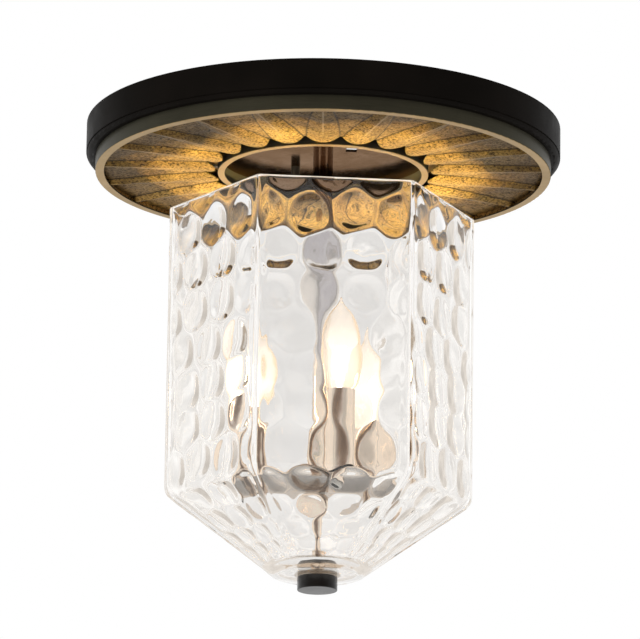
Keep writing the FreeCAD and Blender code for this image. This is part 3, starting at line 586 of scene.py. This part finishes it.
def let_light_through(shader, surface, shadow_colour):
    """Return the surface, clear to shadow rays and to rays that have bounced about in glass for long."""
    path = shader.add("LightPath").outputs
    passing = blend(shader, path["Is Shadow Ray"], TRAPPED_TONE, shadow_colour)
    clear = shader.add("BsdfTransparent", {"Color": passing}).outputs["BSDF"]
    is_deep = more_than(shader, path["Transmission Depth"], MOST_CROSSINGS)
    is_reflected = more_than(shader, path["Glossy Depth"], MOST_REFLECTIONS)
    is_trapped = calculate(shader, "MAXIMUM", is_deep, is_reflected)
    let_through = calculate(shader, "MAXIMUM", path["Is Shadow Ray"], is_trapped)
    return mix_shaders(shader, let_through, surface, clear)


def clear_glass():
    """Return thick pressed glass: a faint warm tint, slow ripples, and a painted glow along its top edge."""
    s = Shader("clear_glass")
    where = place_vector(s)
    ripple = noise(s, 55.0, 2.0, 0.4, vector=where)
    cloud = noise(s, 12.0, 2.0, vector=where)
    tint = ramp(s, cloud, [(0.3, (0.975, 0.962, 0.945)), (0.7, (0.99, 0.98, 0.965))])
    surface = principled(
        s,
        Base_Color=tint,
        Roughness=0.0,
        IOR=1.5,
        Transmission_Weight=1.0,
        Normal=bump(s, ripple, 0.10, 0.002),
    )
    height = split(s, where)["Z"]
    # painted glow along the top edge, standing in for light carried up inside the glass
    at_rim = fade(s, height, (RIM_LEVEL - RIM_SOFT) * MM, (RIM_LEVEL - 0.3 * RIM_SOFT) * MM, 0.0, 0.62)
    painted_rim_glow = s.add("Emission", {"Color": (1.0, 0.87, 0.68, 1.0), "Strength": 1.1}).outputs["Emission"]
    painted_edge_light = mix_shaders(s, at_rim, surface, painted_rim_glow)
    # shadow rays pass in patches: painted pools of light and shade beyond the glass, for the dimples'
    # focusing
    patches = noise(s, 34.0, 3.0, 0.5, vector=where, distortion=1.2)
    focus = ramp(
        s, patches, [(0.48, (0.05, 0.048, 0.045)), (0.58, (0.12, 0.115, 0.11)), (0.68, (0.85, 0.83, 0.79))]
    )
    return s.finish(let_light_through(s, painted_edge_light, focus))


def lit_bulb_glass():
    """Return thin bulb glass with an amber outline and a painted glow, strongest round the filament."""
    s = Shader("bulb_glass")
    where = place_vector(s)
    facing = facing_away(s, 0.30)
    tint = ramp(
        s,
        facing,
        [
            (0.0, (1.0, 0.975, 0.945)),
            (0.30, (1.0, 0.960, 0.905)),
            (0.46, (0.98, 0.80, 0.56)),
            (0.68, (0.84, 0.48, 0.20)),
        ],
    )
    # painted glow of the glass: strongest round the filament, faint all over
    core = fade(s, facing, 0.40, 0.02)
    from_lamp = calculate(s, "ABSOLUTE", calculate(s, "SUBTRACT", split(s, where)["Z"], LAMP_LEVEL))
    near = fade(s, from_lamp, 0.042, 0.002)
    haze = ramp(s, noise(s, 60.0, 3.0, vector=where), [(0.3, grey(0.85)), (0.7, grey(1.0))])
    strength = calculate(s, "MULTIPLY", calculate(s, "MULTIPLY", core, near), 0.15)
    glow = calculate(s, "ADD", strength, 0.055)
    surface = principled(
        s,
        Base_Color=tint,
        Roughness=0.0,
        IOR=1.45,
        Transmission_Weight=1.0,
        Emission_Color=blend(s, 1.0, haze, (1.0, 0.82, 0.64), "MULTIPLY"),
        Emission_Strength=glow,
    )
    return s.finish(let_light_through(s, surface, (1.0, 0.98, 0.95)))


def filament_glow():
    """Return the glowing filament sticks."""
    s = Shader("filament_glow")
    where = place_vector(s)
    beads = noise(s, 700.0, 2.0, vector=where)
    colour = ramp(s, beads, [(0.35, (1.0, 0.70, 0.36)), (0.6, (1.0, 0.88, 0.66))])
    return s.finish(s.add("Emission", {"Color": colour, "Strength": 9.0}).outputs["Emission"])


def clear_seal():
    """Return clear soft plastic, slightly milky."""
    s = Shader("clear_seal")
    where = place_vector(s)
    cloud = noise(s, 90.0, 4.0, vector=where)
    colour = ramp(s, cloud, [(0.3, (0.90, 0.88, 0.84)), (0.7, (0.97, 0.96, 0.93))])
    surface = principled(s, Base_Color=colour, Roughness=0.18, IOR=1.40, Transmission_Weight=0.92)
    return s.finish(let_light_through(s, surface, (0.9, 0.9, 0.9)))


ENAMEL_DARK = (0.009, 0.0075, 0.0062)
ENAMEL_LIGHT = (0.016, 0.0125, 0.010)
BRONZE_DARK = (0.060, 0.056, 0.037)
BRONZE_LIGHT = (0.092, 0.085, 0.056)
# paler bronze for faces that look down: painted light from the bulbs below
BRONZE_LAMPLIT_LIP = (0.54, 0.37, 0.165)

# by the material slot of the CAD record
MATERIALS = {
    "black_paint": black_enamel("black_enamel", ENAMEL_DARK, ENAMEL_LIGHT, 0.42, 0.02),
    "bronze": satin_bronze("satin_bronze", BRONZE_DARK, BRONZE_LIGHT, BRONZE_LAMPLIT_LIP, 0.40),
    "antique_gold": antique_gold(),
    "polished_bronze": polished_bronze(),
    "chrome": chrome("chrome", (0.80, 0.78, 0.77), 0.06),
    "zinc": zinc("zinc_plate", (0.50, 0.49, 0.46), (0.66, 0.65, 0.62)),
    "ground_green": zinc("green_screw", (0.02, 0.20, 0.06), (0.05, 0.32, 0.10)),
    "black_plastic": plastic("black_plastic", (0.010, 0.010, 0.010), (0.022, 0.021, 0.020), 0.5),
    "brass_thread": zinc("plain_brass", (0.60, 0.42, 0.17), (0.78, 0.58, 0.27)),
    "clear_glass": clear_glass(),
    "bulb_clear": lit_bulb_glass(),
    "glow": filament_glow(),
    "seal": clear_seal(),
    "black_finial": black_enamel("finial_enamel", (0.008, 0.0068, 0.006), (0.016, 0.013, 0.011), 0.30, 0.5),
}


def dress_cad_nodes():
    """Give each piece of the CAD model the material of its slot."""
    for entry in frame["record"]["subparts"]:
        mesh = NODES[entry["node"]].data
        mesh.materials.clear()
        mesh.materials.append(MATERIALS[entry["material_slot"]])


# ---------------------------------------- mesh helpers


def mesh_piece(name, points, faces, material, sharp_degrees):
    """Return a smooth-shaded object, with sharp edges where faces meet at more than an angle."""
    mesh = bpy.data.meshes.new(name)
    mesh.from_pydata([tuple(p) for p in points], [], faces)
    mesh.update()
    mesh.shade_smooth()
    mesh.set_sharp_from_angle(angle=math.radians(sharp_degrees))
    mesh.materials.append(material)
    piece = bpy.data.objects.new(name, mesh)
    bpy.context.scene.collection.objects.link(piece)
    return piece


def looped_grid(name, rows, material, sharp_degrees):
    """Return a closed mesh from an array of rows of points, looped both ways."""
    row_count, column_count = rows.shape[:2]
    points = rows.reshape(-1, 3)
    faces = []
    for i in range(row_count):
        after = (i + 1) % row_count
        for j in range(column_count):
            k = (j + 1) % column_count
            corners = ((i, j), (after, j), (after, k), (i, k))
            faces.append(tuple(row * column_count + column for row, column in corners))
    return mesh_piece(name, points, faces, material, sharp_degrees)


def smooth_step(values):
    """Return a smooth rise from 0 to 1 as the values go from 0 to 1."""
    t = np.clip(values, 0.0, 1.0)
    return t * t * (3.0 - 2.0 * t)


# ---------------------------------------- dimpled glass shade


def to_corner(distance):
    """Return how far a hexagon's corners move when its flats move by a distance."""
    return distance * 2 / math.sqrt(3)


def polar(radius, degrees):
    """Return the (x, y) of a point at a radius and an azimuth."""
    turn = math.radians(degrees)
    return (radius * math.cos(turn), radius * math.sin(turn))


def hexagon_and_circle(corner_radius, rounding, foot_radius):
    """Return points of the rounded hexagon, matching ones of the foot circle, and their places on a face."""
    setback = corner_radius - to_corner(rounding)
    half_side = setback / 2
    flat = setback * math.cos(math.radians(SIDE_TURN / 2)) + rounding
    arc_length = rounding * math.radians(SIDE_TURN)
    corner_half = SIDE_TURN / 2 * FOOT_CORNERS
    hexagon, circle, along = [], [], []
    for index in range(SIDES):
        corner = SIDE_TURN * index
        for step in range(CORNER_STEPS):
            share = step / CORNER_STEPS
            centre_x, centre_y = polar(setback, corner)
            arc_x, arc_y = polar(rounding, corner - SIDE_TURN / 2 + SIDE_TURN * share)
            hexagon.append((centre_x + arc_x, centre_y + arc_y))
            circle.append(polar(foot_radius, corner - corner_half + 2 * corner_half * share))
            arc = arc_length * share
            along.append(half_side + arc if share < 0.5 else -half_side - (arc_length - arc))
        across = math.radians(corner + SIDE_TURN / 2)
        for step in range(FLAT_STEPS):
            share = step / FLAT_STEPS
            u = -half_side + 2 * half_side * share
            x = flat * math.cos(across) - u * math.sin(across)
            y = flat * math.sin(across) + u * math.cos(across)
            hexagon.append((x, y))
            circle.append(polar(foot_radius, corner + corner_half + (SIDE_TURN - 2 * corner_half) * share))
            along.append(u)
    return np.array(hexagon), np.array(circle), np.array(along)


def cell_centres(cell_rows, seed, face):
    """Return the (u, w) centres of the dimples on one face, with u along the face and w up it."""
    dice = np.random.default_rng(seed + face)
    turn = (face - FRONT_FACE) * ROW_STEP
    centres = []
    for w, shift in cell_rows:
        middle = (shift + turn + CELL_PITCH / 2) % CELL_PITCH - CELL_PITCH / 2
        for column in range(-CELL_COLUMNS, CELL_COLUMNS + 1):
            u = middle + column * CELL_PITCH
            if abs(u) < CORNER_RADIUS * CELL_LIMIT:
                centres.append((u, w) + dice.uniform(-1, 1, 2) * CELL_JITTER)
    return np.array(centres)


def relief(u, w, centres):
    """Return the height of the dimples along one row of a face: 0 at a crown, negative in the flat band."""
    off = w - centres[:, 1]
    off = off * np.where(off > 0, CELL_LEAN[0], CELL_LEAN[1])
    squares = (u[:, None] - centres[None, :, 0]) ** 2 + (off**2)[None, :]
    least = squares.min(axis=1)
    nearness = np.exp(-(squares - least[:, None]) / CREASE_SOFTNESS)
    soft = least - CREASE_SOFTNESS * np.log(nearness.sum(axis=1))
    beyond = (soft / CELL_REACH**2 - 1) / CELL_KNEE
    reach = 1 + CELL_KNEE * (beyond - np.logaddexp(0, beyond))
    return -CELL_DEPTH * reach - CELL_STEEPENING * reach**2


def round_profile(distance, rounding, drop):
    """Return how far down the slope, and how far below the waist, a row is at a distance past the waist."""
    if distance < -rounding:
        return 0.0, distance
    if distance > rounding:
        return distance, drop * distance
    past = distance + rounding
    return past**2 / (4 * rounding), -rounding + past + (drop - 1) * past**2 / (4 * rounding)


def distances_down(waist, slope_length):
    """Return the distance past the waist of each row, from just under the rim to the foot."""
    return np.concatenate(
        [
            np.linspace(waist - (RIM_LEVEL - RIM_SOFT), -WAIST_SOFT, WALL_STEPS),
            np.linspace(-WAIST_SOFT, WAIST_SOFT, WAIST_STEPS)[1:],
            np.linspace(WAIST_SOFT, slope_length, FUNNEL_STEPS)[1:],
        ]
    )


def outward_normals(grid):
    """Return the unit normals of an array of rows of points, away from the axis."""
    down = np.gradient(grid, axis=0)
    side = (np.roll(grid, -1, axis=1) - np.roll(grid, 1, axis=1)) / 2
    normal = np.cross(side, down)
    normal /= np.linalg.norm(normal, axis=2)[:, :, None]
    outward = np.sign((normal[:, :, :2] * grid[:, :, :2]).sum(axis=2))[:, :, None]
    return normal * outward


def wall_rows(corner_radius, rounding, waist, foot_radius, foot, direction, share):
    """Return rows of points down one side of the glass, from rim to foot, with their relief."""
    hexagon, circle, along = hexagon_and_circle(corner_radius, rounding, foot_radius)
    half_side = (corner_radius - to_corner(rounding)) / 2
    # a face runs from the middle of one corner to the middle of the next
    faces = np.roll(np.arange(len(along)) // (CORNER_STEPS + FLAT_STEPS), CORNER_STEPS // 2)
    flat_radius = corner_radius * math.cos(math.radians(SIDE_TURN / 2))
    slope_length = math.hypot(flat_radius - foot_radius, waist - foot)
    narrowing = 1 - foot_radius * math.radians(SIDE_TURN) / (2 * half_side)
    grid, places = [], []
    for distance in distances_down(waist, slope_length):
        down_slope, fall = round_profile(distance, WAIST_SOFT, (waist - foot) / slope_length)
        v = down_slope / slope_length
        plan = (1 - v) * hexagon + v * circle
        grid.append(np.column_stack([plan, np.full(len(plan), waist - fall)]))
        places.append((distance, v, 1 - narrowing * v))
    grid = np.array(grid)
    normal = outward_normals(grid)

    walls = [cell_centres(CELL_ROWS, WALL_SEED, face) for face in range(SIDES)]
    funnels = [cell_centres(FUNNEL_ROWS, FUNNEL_SEED, face) for face in range(SIDES)]
    calm_levels, calm_shares = zip(*FRONT_CALM)
    slope_places, slope_shares = zip(*SLOPE_CALM)
    from_corner = smooth_step((half_side - np.abs(along)) / CORNER_CALM)
    rows = []
    for i, (distance, v, scale) in enumerate(places):
        height = np.zeros(len(along))
        level = waist - distance
        # the slope's dimples shrink as it narrows, and keep their round shape
        slope_w = slope_length * math.log(scale) / narrowing + max(-distance, 0.0)
        into_funnel = smooth_step((distance - FUNNEL_START) / FUNNEL_BLEND)
        fading = 1.0 - smooth_step((v - FOOT_CALM) / (1.0 - FOOT_CALM))
        for face in range(SIDES):
            here = faces == face
            wall = relief(along[here], level, walls[face])
            funnel = relief(along[here], slope_w, funnels[face]) * scale * fading
            if face == FRONT_FACE:
                wall = wall * np.interp(level, calm_levels, calm_shares)
                funnel = funnel * np.interp(v, slope_places, slope_shares)
            height[here] = wall * (1 - into_funnel) + funnel * into_funnel
        height = height * from_corner - CORNER_SINK * CELL_DEPTH * (1 - from_corner) * fading
        rows.append(grid[i] + direction * normal[i] * (height * share)[:, None])
    return rows


def foot_rows(foot_ring, profile, level):
    """Return the foot ring's rows at the (radius, lift) pairs of a profile above a level."""
    rows = []
    for radius, lift in profile:
        rows.append(np.column_stack([foot_ring * radius, np.full(len(foot_ring), level + lift)]))
    return rows


def rim_rows(outside, inside):
    """Return the rows over the rounded rim, from the inside to the outside."""
    rows = []
    for share, drop in RIM_PROFILE:
        row = outside + (inside - outside) * share
        row[:, 2] = RIM_LEVEL - drop * RIM_SOFT
        rows.append(row)
    return rows


def make_shade():
    """Make the glass as one closed skin: outside, underside, top of the floor, inside and rim."""
    flat_radius = CORNER_RADIUS * math.sqrt(3) / 2
    lean = math.atan2(flat_radius - FOOT_RADIUS, WAIST_LEVEL - FOOT_LEVEL)
    inner_foot = FOOT_RADIUS + (FLOOR_LEVEL - FOOT_LEVEL) * math.tan(lean) - WALL / math.cos(lean)
    inner_corner = CORNER_RADIUS - to_corner(WALL)
    inner_waist = WAIST_LEVEL + WALL * math.tan(lean / 2)
    outside = wall_rows(
        CORNER_RADIUS, CORNER_ROUND, WAIST_LEVEL, FOOT_RADIUS, FOOT_LEVEL, 1.0, OUTER_SHARE
    )
    inside = wall_rows(
        inner_corner, INNER_ROUND, inner_waist, inner_foot, FLOOR_LEVEL, -1.0, 1 - OUTER_SHARE
    )
    foot_ring = outside[-1][:, :2] / FOOT_RADIUS
    outside[-1][:, :2] *= FOOT_TUCK
    outside[-1][:, 2] += FOOT_LIFT
    inside = inside[:-LEFT_OUT_ROWS]
    under = foot_rows(foot_ring, UNDERSIDE, FOOT_LEVEL)
    over = foot_rows(foot_ring, TOP_OF_FLOOR, FLOOR_LEVEL)
    rows = np.array(outside + under + over + inside[::-1] + rim_rows(outside[0], inside[0])) * MM
    shade = looped_grid("shade_glass", rows, MATERIALS["clear_glass"], GLASS_SHARP)
    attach(shade, "shade")
    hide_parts("glass_shade")


# ---------------------------------------- fluted gold ring


def ring_levels(share, turn):
    """Return the level of the fluted sheet at a radial share and an angle from a ridge."""
    half_pitch = math.pi / FLUTES
    width = half_pitch + (RIDGE_HALF_TURN - half_pitch) * share
    bottom = RIDGE_LEVEL + PETAL_RISE * (1 - share)
    top = RIDGE_LEVEL + CUSP_RISE + (FLOOR_RISE - CUSP_RISE) * share
    across = np.minimum(np.abs(turn) / width, 1.0)
    bend = BEND_INNER - BEND_FALL * share
    return bottom + (top - bottom) * across**bend


def ring_row(step, shifts):
    """Return the row of points round the sheet's underside at one step on the way out."""
    half_pitch = math.pi / FLUTES
    offsets = np.linspace(-half_pitch, half_pitch, FLUTE_STEPS, endpoint=False)
    off_ridge = offsets / half_pitch
    inner = RING_INNER + RING_SCALLOP * off_ridge**2
    radius = inner + (RING_OUTER - inner) * step / RADIAL_STEPS
    share = (radius - RING_INNER) / (RING_OUTER - RING_INNER)
    level = ring_levels(share, offsets)
    most_halfway = share * (1 - share) * 4
    row = []
    for flute, shift in enumerate(shifts):
        middle = math.radians(FLUTE_PHASE) + 2 * half_pitch * flute
        sway = shift * np.sin(math.pi * share)
        angle = middle + offsets + sway * np.cos(off_ridge * math.pi / 2)
        phase = WAVE_ALONG * share + WAVE_ACROSS * off_ridge + WAVE_SPREAD * shift
        wave = WAVE_HEIGHT * np.sin(phase) * most_halfway
        row.append(np.column_stack([radius * np.cos(angle), radius * np.sin(angle), level + wave]))
    return np.concatenate(row)


def hoop_rows(rim):
    """Return the rows of the hoop round the sheet's rim: up its outside and in over its top edge."""
    low = rim.copy()
    low[:, :2] *= HOOP_RADIUS / RING_OUTER
    low[:, 2] = RIDGE_LEVEL + HOOP_LIFT
    high = low.copy()
    high[:, 2] = HOOP_TOP
    back = high.copy()
    back[:, :2] *= HOOP_BACK / HOOP_RADIUS
    return [low, high, back]


def make_ring():
    """Make the ring as one closed skin: underside, hoop and upper side."""
    dice = np.random.default_rng(RING_SEED)
    shifts = dice.uniform(-FLUTE_SWAY, FLUTE_SWAY, FLUTES)
    below = [ring_row(step, shifts) for step in range(RADIAL_STEPS + 1)]
    above = [row + np.array([0, 0, RING_SHEET]) for row in below]
    rows = np.array(below + hoop_rows(below[-1]) + above[::-1]) * MM
    ring = looped_grid("gold_ring", rows, MATERIALS["antique_gold"], RING_SHARP)
    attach(ring, "mount")
    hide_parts("pleated_reflector")


# ---------------------------------------- camera, lights, world and floor


def line_of_sight():
    """Return the direction in which the camera looks."""
    return Vector(
        (
            -math.sin(CAMERA_AZIMUTH) * math.cos(CAMERA_PITCH),
            math.cos(CAMERA_AZIMUTH) * math.cos(CAMERA_PITCH),
            math.sin(CAMERA_PITCH),
        )
    )


def make_camera():
    """Place the camera where the photographer stood, level first and then rolled."""
    forward = line_of_sight()
    right = forward.cross(Vector((0, 0, 1))).normalized()
    up = right.cross(forward)
    rolled_right = right * math.cos(CAMERA_ROLL) + up * math.sin(CAMERA_ROLL)
    rolled_up = up * math.cos(CAMERA_ROLL) - right * math.sin(CAMERA_ROLL)
    data = bpy.data.cameras.new("camera")
    data.lens = CAMERA_LENS
    data.sensor_width = CAMERA_SENSOR
    data.clip_end = CAMERA_REACH
    camera = bpy.data.objects.new("camera", data)
    bpy.context.scene.collection.objects.link(camera)
    turn = Matrix((rolled_right, rolled_up, -forward)).transposed()
    camera.matrix_world = Matrix.Translation(CAMERA_PLACE) @ turn.to_4x4()
    bpy.context.scene.camera = camera


def hide_lamp(lamp):
    """Keep a lamp out of the picture, of reflections and of what is seen through glass."""
    lamp.visible_camera = False
    lamp.visible_glossy = False
    lamp.visible_transmission = False


def make_bulb_lights():
    """Put a small warm lamp into each bulb."""
    for index, degrees in enumerate(BULB_AZIMUTHS, start=1):
        data = bpy.data.lights.new("bulb_light_%d" % index, "POINT")
        data.energy = LAMP_POWER
        data.color = LAMP_COLOUR
        data.shadow_soft_size = LAMP_RADIUS
        lamp = bpy.data.objects.new(data.name, data)
        lamp.location = (*polar(BULB_CIRCLE, degrees), LAMP_LEVEL)
        bpy.context.scene.collection.objects.link(lamp)
        hide_lamp(lamp)


def make_soft_lights():
    """Make the two large lights in front of the lantern."""
    for name, place, side, power, colour in SOFT_LIGHTS:
        data = bpy.data.lights.new(name, "AREA")
        data.shape = "SQUARE"
        data.size = side
        data.energy = power
        data.color = colour
        lamp = bpy.data.objects.new(name, data)
        lamp.location = place
        lamp.rotation_euler = (Vector(LIGHT_TARGET) - Vector(place)).to_track_quat("-Z", "Y").to_euler()
        bpy.context.scene.collection.objects.link(lamp)
        hide_lamp(lamp)


def backdrop(w, direction):
    """Return what is behind glass: a little grey straight behind, brighter round it, slowly uneven."""
    inputs = {0: direction, 1: line_of_sight()}
    along = w.add("VectorMath", inputs, operation="DOT_PRODUCT").outputs["Value"]
    around = fade(w, along, 1.0, math.cos(math.radians(BACKDROP_REACH)), BACKDROP_DIM, BACKDROP_BRIGHT)
    uneven = noise(w, 5.0, 2.0, 0.4, vector=direction)
    return calculate(w, "MULTIPLY", around, slide(w, uneven, 0.35, 0.65, 0.90, 1.05))


def gloss_outside(w, parts):
    """Return what gloss shows: dark towards the viewer, bright behind, a faint strip at either side."""
    front_to_back = ramp(
        w,
        slide(w, parts["Y"], -1.0, 1.0),
        [
            (0.0, (0.070, 0.052, 0.042)),
            (0.12, (0.085, 0.066, 0.054)),
            (0.32, grey(0.20)),
            (0.60, grey(0.42)),
            (0.86, grey(0.92)),
        ],
    )
    strips = fade(w, calculate(w, "ABSOLUTE", parts["X"]), 0.90, 0.97, 0.0, 0.12)
    return blend(w, 1.0, front_to_back, strips, "ADD")


def gloss_inside(w, parts):
    """Return the same for gloss inside the glass, where only a narrow front is darker."""
    return ramp(
        w,
        slide(w, parts["Y"], -1.0, 1.0),
        [
            (0.0, (0.62, 0.61, 0.65)),
            (0.05, (0.72, 0.71, 0.74)),
            (0.14, (0.46, 0.45, 0.45)),
            (0.30, (0.88, 0.86, 0.83)),
            (0.90, (1.05, 1.01, 0.96)),
        ],
    )


def make_world():
    """Make the studio: white to the camera, softly uneven behind glass, and with a dim front for gloss."""
    world = bpy.data.worlds.new("world")
    bpy.context.scene.world = world
    world.use_nodes = True
    w = NodeTree(world.node_tree, "World")
    direction = w.add("TexCoord").outputs["Generated"]
    parts = split(w, direction)
    path = w.add("LightPath").outputs
    behind = backdrop(w, direction)

    passed = more_than(w, path["Transmission Depth"], 0)
    passed_often = more_than(w, path["Transmission Depth"], OFTEN)
    bounced_once = calculate(w, "LESS_THAN", path["Glossy Depth"], 1.5)
    off_metal = calculate(w, "MULTIPLY", passed_often, bounced_once)
    reflected = more_than(w, path["Glossy Depth"], 0)
    diffuse = calculate(w, "MAXIMUM", path["Is Diffuse Ray"], more_than(w, path["Diffuse Depth"], 0))
    plain = blend(w, passed, grey(AMBIENT), behind)
    in_glass = blend(w, off_metal, behind, gloss_inside(w, parts))
    glossy = blend(w, passed, gloss_outside(w, parts), in_glass)
    unseen = blend(w, diffuse, blend(w, reflected, plain, glossy), grey(AMBIENT))
    colour = blend(w, path["Is Camera Ray"], unseen, grey(1.0))
    background = w.add("Background", {"Color": colour, "Strength": 1.0})
    w.finish(background.outputs["Background"])


def floor_paint():
    """Return pale paint that glows a little where it is seen."""
    s = Shader("pale_floor")
    cloud = noise(s, 1.4, 3.0, vector=place_vector(s))
    colour = ramp(s, cloud, [(0.3, (0.86, 0.85, 0.84)), (0.7, (0.90, 0.895, 0.885))])
    base = principled(s, Base_Color=colour, Roughness=0.8)
    path = s.add("LightPath").outputs
    seen = calculate(s, "MAXIMUM", path["Is Camera Ray"], path["Is Glossy Ray"])
    seen = calculate(s, "MAXIMUM", seen, path["Is Transmission Ray"])
    strength = calculate(s, "MULTIPLY", seen, FLOOR_LIFT)
    lift = s.add("Emission", {"Color": (1.0, 1.0, 1.0, 1.0), "Strength": strength}).outputs["Emission"]
    both = s.add("AddShader", {0: base, 1: lift})
    return s.finish(both.outputs["Shader"])


def make_floor():
    """Lay a pale floor far below the lantern."""
    signs = ((-1, -1), (1, -1), (1, 1), (-1, 1))
    corners = [(x * FLOOR_HALF, y * FLOOR_HALF, FLOOR_PLACE) for x, y in signs]
    floor = mesh_piece("floor", corners, [(0, 1, 2, 3)], floor_paint(), 30.0)


# ---------------------------------------- build everything

bpy.context.scene.view_settings.view_transform = "Standard"
make_camera()
dress_cad_nodes()
make_shade()
make_ring()
make_bulb_lights()
make_soft_lights()
make_world()
make_floor()
